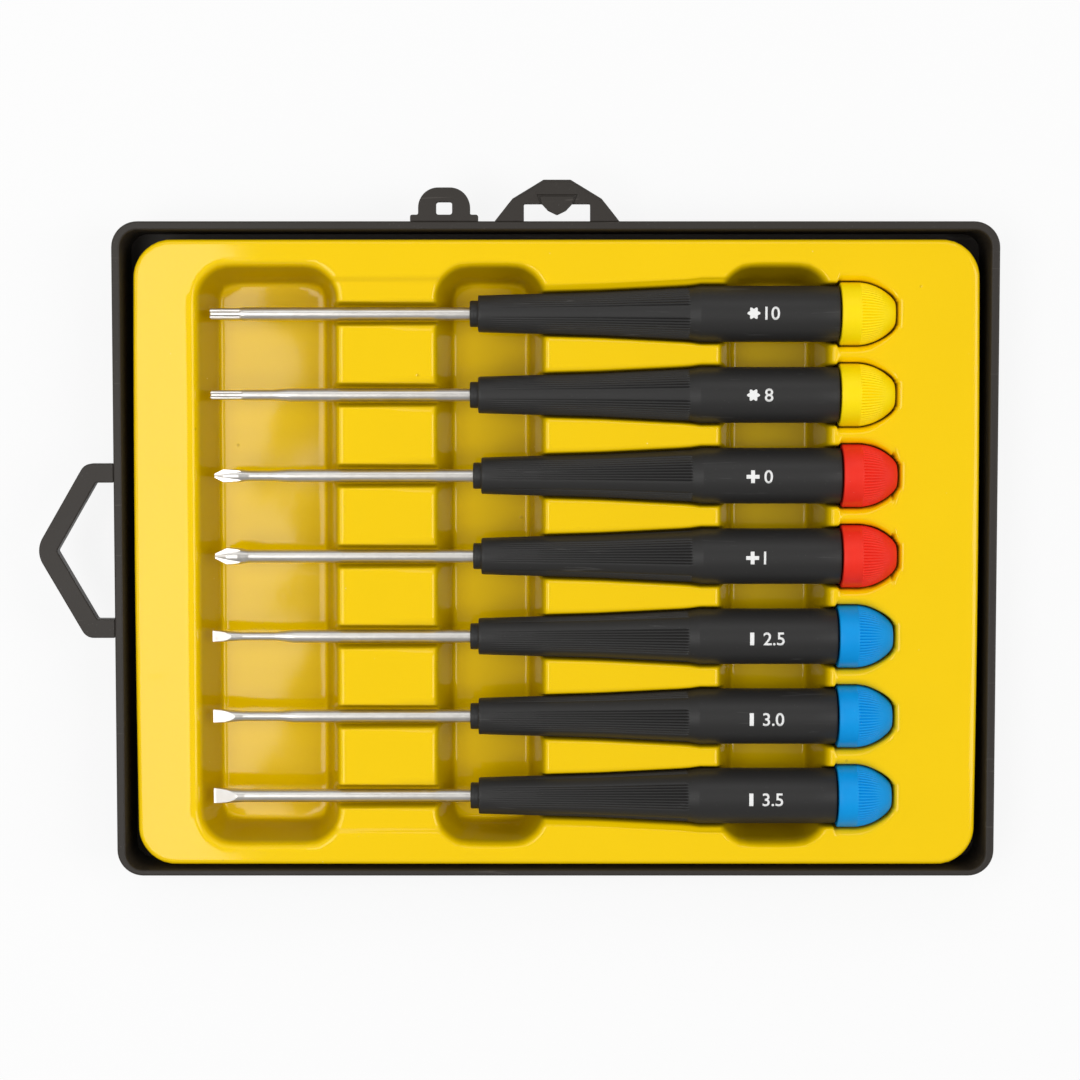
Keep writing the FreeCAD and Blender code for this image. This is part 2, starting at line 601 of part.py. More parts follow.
def hang_tab():
    """Hanging tab: an arch over a hook slot against the case wall, with a tooth into the slot."""
    wall_y = CASE_WIDTH / 2
    top = CASE_HEIGHT - RIM_CHAMFER
    bottom = top - TAB_THICKNESS
    shoulder_y = wall_y + HANG_TAB_SHOULDER_HEIGHT
    top_y = wall_y + HANG_TAB_HEIGHT
    slot_y = wall_y + HANG_SLOT_HEIGHT
    half_widths = (HANG_TAB_BASE_WIDTH / 2, HANG_TAB_SHOULDER_WIDTH / 2, HANG_TAB_TOP_WIDTH / 2)
    heights = (wall_y, shoulder_y, top_y)
    right = list(zip(half_widths, heights))
    left = [(-x, y) for x, y in reversed(right)]
    arch = plate(straight_outline(right + left), bottom, top)
    upper_edges = [
        edge for edge in arch.Edges
        if edge.BoundBox.ZMin > top - 1e-3 and edge.BoundBox.YMin > shoulder_y - 1e-3
    ]
    arch = arch.makeChamfer(HANG_TAB_CHAMFER, upper_edges)

    slot_half = HANG_SLOT_WIDTH / 2
    tooth_half = HANG_TOOTH_WIDTH / 2
    tooth_low = slot_y - HANG_TOOTH_DROP
    knee_half = tooth_half * HANG_TOOTH_KNEE
    knee_y = slot_y - HANG_TOOTH_DROP * HANG_TOOTH_KNEE
    slot = rounded_outline([
        (-slot_half, wall_y - OVER, 0.0),
        (slot_half, wall_y - OVER, 0.0),
        (slot_half, slot_y, HANG_SLOT_RADIUS),
        (tooth_half, slot_y, 0.0),
        (knee_half, knee_y, HANG_TOOTH_KNEE_RADIUS),
        (0.0, tooth_low, HANG_TOOTH_TIP_RADIUS),
        (-knee_half, knee_y, HANG_TOOTH_KNEE_RADIUS),
        (-tooth_half, slot_y, 0.0),
        (-slot_half, slot_y, HANG_SLOT_RADIUS),
    ])
    arch = arch.cut(plate(slot, bottom - OVER, top + OVER))

    # A fine groove outlines the tooth's root on the tab's face.
    groove = HANG_TOOTH_MARK_GROOVE
    mark_half = HANG_TOOTH_MARK_WIDTH / 2
    mark_y = slot_y + HANG_TOOTH_MARK_RISE
    outer_mark = [
        (-tooth_half - groove, slot_y), (tooth_half + groove, slot_y), (mark_half, mark_y), (-mark_half, mark_y)
    ]
    inner_mark = [
        (-tooth_half, slot_y - OVER),
        (tooth_half, slot_y - OVER),
        (tooth_half, slot_y),
        (mark_half - 2 * groove, mark_y - groove),
        (-mark_half + 2 * groove, mark_y - groove),
        (-tooth_half, slot_y),
    ]
    mark = plate(straight_outline(outer_mark), top - groove, top + OVER)
    mark = mark.cut(plate(straight_outline(inner_mark), top - OVER, top + 2 * OVER))
    arch = arch.cut(mark)
    arch.translate(vec(HANG_TAB_X, 0, 0))
    return arch


def lock_tab():
    """Domed tab with a small square hole for a seal or a security tie."""
    wall_y = CASE_WIDTH / 2
    top = CASE_HEIGHT - RIM_CHAMFER
    bottom = top - TAB_THICKNESS
    ear = LOCK_TAB_EAR_WIDTH / 2
    half = LOCK_TAB_WIDTH / 2
    ear_y = wall_y + LOCK_TAB_EAR_HEIGHT
    top_y = wall_y + LOCK_TAB_HEIGHT
    outline = rounded_outline([
        (-ear, wall_y, 0.0),
        (ear, wall_y, 0.0),
        (ear, ear_y, LOCK_TAB_EAR_RADIUS),
        (half, ear_y, LOCK_TAB_ROOT_RADIUS),
        (half, top_y, LOCK_TAB_TOP_RADIUS),
        (-half, top_y, LOCK_TAB_TOP_RADIUS),
        (-half, ear_y, LOCK_TAB_ROOT_RADIUS),
        (-ear, ear_y, LOCK_TAB_EAR_RADIUS),
    ])
    hole_y = wall_y + LOCK_HOLE_FROM_CASE
    hole = rectangle(
        -LOCK_HOLE_WIDTH / 2, LOCK_HOLE_WIDTH / 2, hole_y, hole_y + LOCK_HOLE_HEIGHT, LOCK_HOLE_RADIUS
    )
    tab = plate(outline, bottom, top).cut(plate(hole, bottom - OVER, top + OVER))
    tab.translate(vec(LOCK_TAB_X, 0, 0))
    return tab


# ----------------------------------------------------------------------------- the whole set
def place(solid, x, y):
    """Copy of a solid drawn on the X axis, moved to a driver's axis."""
    placed = solid.copy()
    placed.translate(vec(x, y, AXIS_Z))
    return placed


def build():
    nodes = {
        "case_base": case_base(),
        "carry_handle": carry_handle(),
        "hang_tab": hang_tab(),
        "lock_tab": lock_tab(),
        "tray": tray(),
    }
    swivel_cap = cap()
    for driver, y in zip(DRIVERS, ROWS_Y):
        steel = blade(driver)
        nodes["blade_" + driver.name] = place(steel, TIP_X + driver.shift, y)
        nodes["handle_" + driver.name] = place(handle(steel), NOSE_X + driver.shift, y)
        cap_x = CAP_SEAT_X + CAP_TO_HANDLE_GAP + driver.shift
        nodes["cap_" + driver.name] = place(swivel_cap, cap_x, y)
    return nodes


os.makedirs("parts", exist_ok=True)
for name, shape in build().items():
    shape.exportStep("parts/" + name + ".step")
    print(name, shape.isValid(), len(shape.Solids), "volume", round(shape.Volume, 1))
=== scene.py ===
# %% [markdown]
# # A set of seven precision screwdrivers in its case
#
# The object is a black moulded case with a bright yellow formed tray, and seven small screwdrivers
# that lie in the tray's nests. Every shape starts from the CAD frame: the frame says where each
# part is, and the cells below give the parts their finished surfaces. All sizes are in metres in
# the scene, and `MM` turns millimetres into metres.

import math

import bmesh
import bpy
import numpy as np
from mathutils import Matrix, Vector


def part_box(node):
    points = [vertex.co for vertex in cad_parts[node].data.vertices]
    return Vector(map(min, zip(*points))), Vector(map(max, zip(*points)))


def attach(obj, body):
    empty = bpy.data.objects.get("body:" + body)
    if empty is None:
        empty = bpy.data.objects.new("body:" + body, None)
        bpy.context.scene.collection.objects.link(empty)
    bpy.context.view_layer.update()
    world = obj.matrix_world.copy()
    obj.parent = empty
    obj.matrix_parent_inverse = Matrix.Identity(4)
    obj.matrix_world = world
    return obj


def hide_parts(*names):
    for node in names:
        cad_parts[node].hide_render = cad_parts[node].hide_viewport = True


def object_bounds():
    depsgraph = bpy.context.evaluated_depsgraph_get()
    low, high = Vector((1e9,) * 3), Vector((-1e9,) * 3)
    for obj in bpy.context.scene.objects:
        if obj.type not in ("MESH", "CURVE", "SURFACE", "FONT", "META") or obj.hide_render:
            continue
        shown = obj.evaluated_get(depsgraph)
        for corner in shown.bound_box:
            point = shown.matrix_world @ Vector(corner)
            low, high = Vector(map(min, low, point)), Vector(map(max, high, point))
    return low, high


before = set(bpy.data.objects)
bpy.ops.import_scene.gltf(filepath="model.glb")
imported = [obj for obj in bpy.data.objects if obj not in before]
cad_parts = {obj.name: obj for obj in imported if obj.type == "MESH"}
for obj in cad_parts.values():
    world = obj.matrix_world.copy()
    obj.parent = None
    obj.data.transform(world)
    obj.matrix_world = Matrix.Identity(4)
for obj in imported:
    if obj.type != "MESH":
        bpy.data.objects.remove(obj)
cad_box = [[float(c) for c in corner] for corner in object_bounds()]
MM = 0.001
print("frame box in mm:", [[round(c / MM, 1) for c in corner] for corner in cad_box])

# %% [markdown]
# ## Which driver is which
#
# The frame names every driver by its tip. A driver lies along X: its blade starts at the lowest X
# of the blade's box, its handle at the lowest X of the handle's box, and the axis runs through the
# middle of the handle. Reading these from the frame, and not typing them in, keeps the finished
# pieces on the CAD when a size changes.

# %% Find the drivers in the frame
DRIVERS = [name[len("blade_"):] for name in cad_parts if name.startswith("blade_")]


def driver_place(name):
    """Tip X, nose X, cap X and the axis' Y and Z of one driver, in millimetres."""
    blade_low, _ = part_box("blade_" + name)
    handle_low, handle_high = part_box("handle_" + name)
    cap_low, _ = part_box("cap_" + name)
    middle = (handle_low + handle_high) / 2
    return [value / MM for value in (blade_low.x, handle_low.x, cap_low.x, middle.y, middle.z)]


PLACES = {name: driver_place(name) for name in DRIVERS}
DRIVERS.sort(key=lambda name: -PLACES[name][3])
for name in DRIVERS:
    print(name, [round(value, 2) for value in PLACES[name]])

# %% [markdown]
# ## From arrays to a mesh
#
# Every new piece is worked out as a grid of points in numpy and handed to Blender in one go. Two
# kinds of grid do all the work here: rings round an axis that close into a skin with a pole at
# each end, and an open sheet. The signed volume of the finished skin says whether its faces look
# outward, and the corner order is turned round when they do not.

# %% Mesh helpers
def placed(label, data):
    """Object in the scene that shows a mesh, a curve, a lamp or a camera."""
    thing = bpy.data.objects.new(label, data)
    bpy.context.scene.collection.objects.link(thing)
    return thing


def new_object(label, points, quads, triangles=None, sharp_above=None):
    """Mesh object from points in millimetres and arrays of quad and triangle corners."""
    triangles = np.zeros((0, 3), int) if triangles is None else triangles
    corners = np.concatenate([quads.ravel(), triangles.ravel()])
    starts = np.concatenate([
        np.arange(len(quads)) * 4,
        len(quads) * 4 + np.arange(len(triangles)) * 3,
    ])
    mesh = bpy.data.meshes.new(label)
    mesh.vertices.add(len(points))
    mesh.vertices.foreach_set("co", (points * MM).astype(np.float32).ravel())
    mesh.loops.add(len(corners))
    mesh.loops.foreach_set("vertex_index", corners.astype(np.int32))
    mesh.polygons.add(len(starts))
    mesh.polygons.foreach_set("loop_start", starts.astype(np.int32))
    mesh.update(calc_edges=True)
    mesh.validate()
    mesh.shade_smooth()
    if sharp_above is not None:
        mesh.set_sharp_from_angle(angle=math.radians(sharp_above))
    return placed(label, mesh)


def signed_volume(points, triangles):
    """Sum of a . (b x c) / 6 over the triangles: positive when the faces look outward."""
    a, b, c = (points[triangles[:, k]] for k in range(3))
    return float(np.einsum("ij,ij->i", a, np.cross(b, c)).sum() / 6)


def grid_quads(rows, columns):
    """Corners of the cells of an open grid: each point, and its neighbours along both sides."""
    row, column = np.meshgrid(np.arange(rows - 1), np.arange(columns - 1), indexing="ij")
    corner = row * columns + column
    return np.stack([corner, corner + columns, corner + columns + 1, corner + 1], -1).reshape(-1, 4)


def ring_quads(count, steps):
    """Corners of the cells between neighbouring rings; the last step joins the first."""
    ring, step = np.meshgrid(np.arange(count - 1), np.arange(steps), indexing="ij")
    here, after = ring * steps + step, ring * steps + (step + 1) % steps
    return np.stack([here, after, after + steps, here + steps], -1).reshape(-1, 4)


def ring_skin(label, rings, first_pole, last_pole, sharp_above):
    """Closed skin over rings [ring, step, xyz]: quads from ring to ring and a fan to each pole."""
    count, steps, _ = rings.shape
    points = np.vstack([rings.reshape(-1, 3), first_pole, last_pole])
    quads = ring_quads(count, steps)
    step = np.arange(steps)
    after = (step + 1) % steps
    last = (count - 1) * steps
    fans = np.vstack([
        np.stack([after, step, np.full(steps, count * steps)], -1),
        np.stack([last + step, last + after, np.full(steps, count * steps + 1)], -1),
    ])
    halves = np.vstack([quads[:, [0, 1, 2]], quads[:, [0, 2, 3]], fans])
    if signed_volume(points - points.mean(0), halves) < 0:
        quads = quads[:, ::-1]
        fans = fans[:, ::-1]
    return new_object(label, points, quads, fans, sharp_above)


def around_axis(along, radius, angle, place_y, place_z):
    """Points at a distance along X and at a radius round the driver's axis; angle 0 is up."""
    along = np.broadcast_to(along, radius.shape)
    angle = np.broadcast_to(angle, radius.shape)
    return np.stack([
        along, place_y + radius * np.sin(angle), place_z + radius * np.cos(angle)
    ], -1)


def smooth_step(value, low, high):
    """0 below low and 1 above high, with 3t^2 - 2t^3 between them."""
    t = np.clip((value - low) / (high - low), 0, 1)
    return t * t * (3 - 2 * t)


def soft_max(a, b, width):
    """The larger of two surfaces, with a parabolic fillet where they are within width."""
    return np.maximum(a, b) + np.maximum(width - np.abs(a - b), 0) ** 2 / (4 * width)


def soft_min(a, b, width):
    """The smaller of two surfaces, with the same parabolic fillet."""
    return -soft_max(-a, -b, width)


# %% [markdown]
# ## Handles
#
# A handle is one turned shape of hard black plastic: a thin collar at the nose, a tapering grip
# with four groups of nine grooves, a short swell, and a smooth barrel. Behind the barrel sits the
# spigot that the cap turns on. It could be a revolved profile with a bump texture for the
# grooves, but grooves catch light along their whole length and show on the outline, so they are
# cut into the radius. The steps round the axis are spaced so that each groove gets the same
# eight steps, and the plain strips between the groups only a few.

# %% Groove pattern round a grip
GROOVE_GROUPS = 4
GROOVES_IN_GROUP = 9
GROOVE_PITCH = math.radians(7.1)
STEPS_PER_GROOVE = 8
STRIP_STEPS = 6


def groove_angles():
    """Angles round the grip, and at each one how deep the groove pattern cuts, from 0 to 1.

    Across one pitch the cut is 1 - |sin|, a rounded rib between two sharp valleys."""
    turn = 2 * math.pi / GROOVE_GROUPS
    grooved = GROOVES_IN_GROUP * GROOVE_PITCH
    in_group = np.arange(GROOVES_IN_GROUP * STEPS_PER_GROOVE) / STEPS_PER_GROOVE
    in_strip = np.arange(STRIP_STEPS) / STRIP_STEPS
    one = np.concatenate([in_group * GROOVE_PITCH, grooved + in_strip * (turn - grooved)])
    cut = np.concatenate([1 - np.abs(np.sin(math.pi * (in_group + 0.5))), 0 * in_strip])
    angles = (one[None, :] + turn * np.arange(GROOVE_GROUPS)[:, None]).ravel()
    return angles, np.tile(cut, GROOVE_GROUPS)


GRIP_ANGLES, GRIP_CUT = groove_angles()
print("steps round a grip:", len(GRIP_ANGLES))

# %% Handle shape
BARREL_RADIUS = 6.475
BORE_DEPTH = 25.0
SPIGOT_END = 93.1
GRIP_START_RADIUS = 3.9
MOULDED_SHARP_ABOVE = 62
GRIP_PROFILE = np.array([
    (1.9, 4.25), (29.9, 5.05), (50.6, 6.05), (53.1, BARREL_RADIUS), (84.7, BARREL_RADIUS),
])
NOSE_PATH = np.array([
    (BORE_DEPTH, 1.5), (0.25, 1.5), (0.0, 1.75), (0.0, 2.8), (0.1, 2.97), (0.3, 3.05), (1.0, 3.05),
    (1.8, 3.05), (1.88, 3.2), (1.9, GRIP_START_RADIUS), (1.98, 4.12), (2.2, 4.24),
])
END_PATH = np.array([
    (84.7, BARREL_RADIUS), (84.95, 6.4), (85.08, 6.2), (85.1, 6.0), (85.1, 3.5), (89.7, 3.5),
    (90.1, 3.1), (91.5, 3.1), (91.9, 3.5), (92.9, 3.5), (SPIGOT_END, 3.3),
])
GROOVE_DEPTH = 0.34
SHALLOWEST_SHARE = 0.22
GROOVE_FROM = 3.0
GROOVE_TO = 50.7
SCALLOP_LENGTH = 0.9
FLASH = {"star_t10": 0.16, "slot_2_5": 0.1, "slot_3_0": 0.16, "slot_3_5": 0.16}
LEAST_FLASH = 0.03


def handle_rings(name, rng):
    """Rings of one handle.

    The profile gives the radius along the axis. The grooves are taken off it: their depth grows
    from the nose to the waist, and they stop in round scallops, so the depth there follows
    sqrt(1 - t^2). A ragged line of moulding flash adds a little round the nose of some."""
    grip = np.concatenate([
        np.arange(2.6, 49.6, 1.1), np.arange(49.7, 53.3, 0.14), [54.5, 62.0, 70.0, 78.0]
    ])
    path = np.vstack([
        NOSE_PATH, np.column_stack([grip, np.interp(grip, *GRIP_PROFILE.T)]), END_PATH
    ])
    along, radius = path[:, :1], path[:, 1:]
    share = ((along - GROOVE_FROM) / (GROOVE_TO - GROOVE_FROM)).clip(0, 1)
    depth = GROOVE_DEPTH * (SHALLOWEST_SHARE + (1 - SHALLOWEST_SHARE) * share ** 1.4)
    outside = (np.arange(len(path)) >= len(NOSE_PATH))[:, None]
    start = smooth_step(along, GROOVE_FROM, GROOVE_FROM + 5)
    past = ((along - GROOVE_TO + SCALLOP_LENGTH) / SCALLOP_LENGTH).clip(0, None)
    scallop = np.sqrt(np.clip(1 - past ** 2, 0, 1))
    cut = outside * start * np.maximum(GRIP_CUT[None, :] - (1 - scallop), 0) * depth
    fins = sum(
        rng.uniform(0.2, 1.0) * np.sin(k * GRIP_ANGLES + rng.uniform(0, 6.3)) for k in (3, 7, 11, 17)
    )
    flash = FLASH.get(name, LEAST_FLASH) * np.clip(0.5 + 0.9 * fins, 0, 1.8)
    near_nose = np.exp(-((along - 2.1) / 0.22) ** 2) * outside
    near_nose = near_nose + 0.6 * np.exp(-((along - 1.9) / 0.25) ** 2) * (radius > GRIP_START_RADIUS)
    return along, radius - cut + flash[None, :] * near_nose


rng = np.random.default_rng(7)
handles = {}
for name in DRIVERS:
    _, nose_x, _, y, z = PLACES[name]
    along, radius = handle_rings(name, rng)
    angles = GRIP_ANGLES + rng.uniform(0, 2 * math.pi)
    rings = around_axis(nose_x + along, radius, angles[None, :], y, z)
    handles[name] = ring_skin(
        "grip_" + name, rings, (nose_x + BORE_DEPTH, y, z), (nose_x + SPIGOT_END, y, z),
        MOULDED_SHARP_ABOVE
    )
print("faces in a handle:", len(handles[DRIVERS[0]].data.polygons))

# %% [markdown]
# ## Swivel caps
#
# The cap is what a fingertip rests on while the other fingers turn the handle, so it spins on the
# spigot. It has a smooth band, then a dome with fine flutes that start sharply behind the band
# and fade out before the small flat end. It could be a sphere cut by copies of one flute, but as
# a radius that depends on the angle it stays one clean skin, with its socket inside.

# %% Cap shape
FLUTES = 60
STEPS_PER_FLUTE = 8
FLUTE_DEPTH = 0.34
CAP_STEPS = np.arange(FLUTES * STEPS_PER_FLUTE)
CAP_ANGLES = CAP_STEPS * 2 * math.pi / (FLUTES * STEPS_PER_FLUTE)
CAP_FLUTE = 1 - np.abs(np.sin(CAP_STEPS * math.pi / STEPS_PER_FLUTE)) ** 0.6
CAP_LENGTH = 12.7
SHOULDER_RADIUS = 3.9
DOME_BULGE = 0.75
SOCKET_DEPTH = 7.78
SOCKET_PATH = np.array([
    (0.0, 6.9), (0.0, 3.7), (0.12, 3.58), (4.38, 3.58), (4.78, 3.18), (6.02, 3.18), (6.42, 3.58),
    (SOCKET_DEPTH, 3.58),
])


def cap_path():
    """Path from the flat end to the socket's floor: end, dome, band, open face, socket.

    The dome is the straight line from its shoulder to the band, bulged by 4 b t (1 - t)."""
    shoulder = np.array([11.9, SHOULDER_RADIUS])
    band = np.array([4.2, 7.3])
    slope = band - shoulder
    outward = np.array([slope[1], -slope[0]]) / np.hypot(*slope)
    t = np.concatenate([np.linspace(0, 0.9, 22), np.linspace(0.915, 1, 10)])[:, None]
    dome = shoulder + slope * t + 4 * DOME_BULGE * t * (1 - t) * outward
    end = np.array([(CAP_LENGTH, 2.6), (12.66, 2.8), (12.5, 3.12), (12.2, 3.52)])
    band_path = np.array([(3.9, 7.3), (2.0, 7.3), (0.3, 7.3), (0.1, 7.22), (0.0, 7.05)])
    return np.vstack([end, dome, band_path, SOCKET_PATH])


caps = {}
for name in DRIVERS:
    _, _, cap_x, y, z = PLACES[name]
    path = cap_path()
    along, radius = path[:, :1], path[:, 1:]
    flute = smooth_step(along, 4.35, 4.6) * (1 - smooth_step(along, 5.2, 11.3)) ** 0.8 * FLUTE_DEPTH
    flute = flute * (radius > SHOULDER_RADIUS)
    angles = CAP_ANGLES + rng.uniform(0, 1)
    rings = around_axis(cap_x + along, radius - flute * CAP_FLUTE[None, :], angles[None, :], y, z)
    caps[name] = ring_skin(
        "dome_" + name, rings, (cap_x + CAP_LENGTH, y, z), (cap_x + SOCKET_DEPTH, y, z),
        MOULDED_SHARP_ABOVE
    )
print("faces in a cap:", len(caps[DRIVERS[0]].data.polygons))

# %% [markdown]
# ## Blades
#
# Each blade is ground from round steel. Where a tip is cut by straight tools, its cross-section
# has edges, and an edge that wanders across the grid looks chewed. So the steps round the axis
# are shared out again on every ring: a fixed number fall on the point, wing or flat, and the rest
# in the cut between, and the edge always lies on the same line of the grid.

# %% Tip cross-sections
SHAFT_RADIUS = 1.5
# Half width of the tip, its length, radius of the neck, where the neck ends, where the shaft starts.
BLADE_SIZES = {
    "star_t10": (1.37, 6.7, 1.5, 9.0, 10.0),
    "star_t8": (1.155, 7.0, 1.2, 14.8, 18.2),
    "cross_ph0": (1.5, 6.9, 1.2, 13.6, 17.1),
    "cross_ph1": (1.95, 6.6, 1.5, 10.5, 11.0),
    "slot_2_5": (1.25, 5.8, 0.95, 14.6, 19.0),
    "slot_3_0": (1.5, 5.8, 1.15, 15.8, 19.0),
    "slot_3_5": (1.75, 6.0, 1.5, 9.0, 10.0),
}


def shared_angles(edge, sectors, steps_on, steps_off):
    """Angles on each ring for sectors that repeat round the axis.

    edge is half the angle of the uncut part on each ring; steps_on steps cover it on each side,
    and steps_off cover the cut between two of them."""
    turn = 2 * math.pi / sectors
    edge = edge[:, None]
    on = np.linspace(-1, 1, 2 * steps_on + 1)[None, :]
    off = (np.arange(1, steps_off) / steps_off)[None, :]
    one = np.concatenate([edge * on, edge + (turn - 2 * edge) * off], 1)
    return (one[:, None, :] + turn * np.arange(sectors)[None, :, None]).reshape(len(edge), -1)


def star_section(along, outer, wide, length):
    """Star: a circle with six round flutes.

    A flute is a circle of radius f whose centre is d from the axis; seen from the axis at an
    angle a from the flute, its near side is at d cos a - sqrt(f^2 - d^2 sin^2 a). Past the end
    of the tip f shrinks as a ball does, so the flutes run out in points."""
    whole = 0.36 * wide
    reach = 0.72 * wide + whole
    flute = np.sqrt(np.clip(whole ** 2 - (along - length).clip(0, None) ** 2, 1e-6, None))
    cosine = ((outer ** 2 + reach ** 2 - flute ** 2) / (2 * outer * reach)).clip(-1, 1)
    half_flute = np.arccos(cosine).clip(math.radians(3), math.radians(27))
    angles = shared_angles(math.pi / 6 - half_flute, 6, 4, 14)
    off = np.abs((angles % (math.pi / 3)) - math.pi / 6)
    inside = flute[:, None] ** 2 - (reach * np.sin(off)) ** 2
    near = np.where(inside > 0, reach * np.cos(off) - np.sqrt(np.abs(inside)), np.inf)
    return angles, np.minimum(outer[:, None], near)


def cross_section(along, outer, wide, length):
    """Cross: a cone with four V grooves whose root rises from the point to the shaft.

    Seen from the axis at an angle a from the groove, its flat side is at
    root sin 46 / sin(46 - a)."""
    half = math.radians(46)
    root = 0.15 + (wide - 0.15) * ((along + 0.25) / (length + 0.25)).clip(0, 1)
    edge = np.arcsin((root * math.sin(half) / outer).clip(0, 1)) - math.radians(1)
    angles = shared_angles(edge.clip(math.radians(4), math.radians(42)), 4, 5, 16)
    off = np.abs((angles % (math.pi / 2)) - math.pi / 4)
    side = root[:, None] * math.sin(half) / np.sin(half - off)
    return angles, np.minimum(outer[:, None], side)


def slot_section(along, outer, wide, length):
    """Slot: a round bar between two planes that spread from the edge to the shaft."""
    half = np.interp(along, [0.25, length, length + 0.01], [0.16 * wide, outer.max(), 9.0])
    half = np.minimum(half, 9.0)
    edge = np.arccos((half / outer).clip(-1, 1)).clip(math.radians(6), None)
    angles = shared_angles(edge, 2, 14, 28)
    flat = half[:, None] / np.abs(np.cos(angles)).clip(1e-3, None)
    return angles, np.minimum(outer[:, None], flat)


SECTIONS = {"star": star_section, "cross": cross_section, "slot": slot_section}

# %% Blade shape
BLADE_LENGTH = 85.0
TANG_FLAT_FROM = 75.0
TANG_HALF_THICKNESS = 1.2
TIP_CONE = math.radians(26.5)
BLADE_SHARP_ABOVE = 24


def tip_outline(kind, wide, length, neck):
    """(distance, radius) of the turned outside of a tip, up to where the neck starts."""
    if kind == "cross":
        flat = 0.3 * wide
        cone = (wide - flat) / math.tan(TIP_CONE)
        return [(0, flat), (cone, wide), (length - 1.2, wide), (length + 1.2, neck)]
    if kind == "slot":
        return [(0, wide), (length / 2, wide), (length + 1.2, neck)]
    return [(0, wide - 0.25), (0.25, wide), (length, wide), (length + 1.2, neck)]


def blade_rings(name):
    """Rings of one blade: its turned outside, cut to the section of its tip."""
    wide, length, neck, neck_end, shaft_from = BLADE_SIZES[name]
    kind = name.split("_")[0]
    outline = tip_outline(kind, wide, length, neck)
    outline += [(neck_end, neck), (shaft_from, SHAFT_RADIUS), (BLADE_LENGTH, SHAFT_RADIUS)]
    along = np.unique(np.concatenate([
        [0, 0.08, 0.16, 0.25], np.linspace(0.4, length + 1.3, 44), [x for x, _ in outline],
        [neck_end - 0.1, shaft_from + 0.1, 40, 60, TANG_FLAT_FROM, TANG_FLAT_FROM + 0.05],
    ]))
    outer = np.interp(along, *np.array(outline).T)
    angles, radius = SECTIONS[kind](along, outer, wide, length)
    tang = TANG_HALF_THICKNESS / np.abs(np.cos(angles)).clip(1e-3, None)
    flattened = (along > TANG_FLAT_FROM)[:, None]
    return along, angles, np.where(flattened, np.minimum(radius, tang), radius)


blades = {}
for name in DRIVERS:
    tip_x, _, _, y, z = PLACES[name]
    along, angles, radius = blade_rings(name)
    rings = around_axis(tip_x + along[:, None], radius, angles, y, z)
    blades[name] = ring_skin(
        "steel_" + name, rings, (tip_x, y, z), (tip_x + BLADE_LENGTH, y, z), BLADE_SHARP_ABOVE
    )
print("faces in a blade:", len(blades[DRIVERS[0]].data.polygons))

# %% [markdown]
# ## Size marks
#
# Each barrel carries a small white mark for its tip: a star, a cross or a bar, and a plain
# number. The outlines are drawn flat and rolled onto the barrel, as a printing pad does. A flat
# letter rolled onto a cylinder needs points across its height, or its faces cut the corner and
# sink into the plastic, so the letters are sliced into thin strips first.

# %% Flat marks and the roll
MARK_HEIGHT = 3.0
TEXT_SIZE = MARK_HEIGHT * 1.42
STRIP_HEIGHT = 0.25
MARK_X = 45.3
NUMBER_X = 47.9
INK = 0.03
NUMBERS = {
    "star_t10": "10", "star_t8": "8", "cross_ph0": "0", "cross_ph1": "1",
    "slot_2_5": "2.5", "slot_3_0": "3.0", "slot_3_5": "3.5",
}


def bar_reach(angle, long, thin):
    """Distance from the middle of a bar to its edge, at each angle."""
    return np.minimum(
        long / np.abs(np.cos(angle)).clip(1e-6, None), thin / np.abs(np.sin(angle)).clip(1e-6, None)
    )


def icon_reach(kind, angle):
    """Distance from the icon's middle to its edge: six lobes, two crossed bars, or one bar."""
    size = MARK_HEIGHT / 2
    if kind == "star":
        return size * (0.84 + 0.16 * np.cos(6 * angle))
    if kind == "cross":
        bars = bar_reach(angle, size, 0.3 * size), bar_reach(angle + math.pi / 2, size, 0.3 * size)
        return np.maximum(*bars)
    return bar_reach(angle + math.pi / 2, size, 0.32 * size)


def roll_onto(points, y, z):
    """Flat (x, height) points rolled onto the barrel: a height h turns by h / radius."""
    radius = BARREL_RADIUS + INK
    turn = points[:, 1] / radius
    return np.column_stack([points[:, 0], y + radius * np.sin(turn), z + radius * np.cos(turn)])


def icon_mark(name, y, z):
    """Icon as rings from its middle to its edge, rolled onto the barrel."""
    steps, count = 144, 7
    angle = np.arange(steps) * 2 * math.pi / steps
    share = np.linspace(0.1, 1, count)[:, None]
    reach = share * icon_reach(name.split("_")[0], angle)[None, :]
    flat = np.stack([MARK_X + reach * np.cos(angle), reach * np.sin(angle)], -1).reshape(-1, 2)
    flat = np.vstack([flat, [MARK_X, 0]])
    quads = ring_quads(count, steps)[:, [0, 3, 2, 1]]
    step = np.arange(steps)
    fan = np.stack([np.full(steps, count * steps), step, (step + 1) % steps], -1)
    return new_object("icon_" + name, roll_onto(flat, y, z), quads, fan)


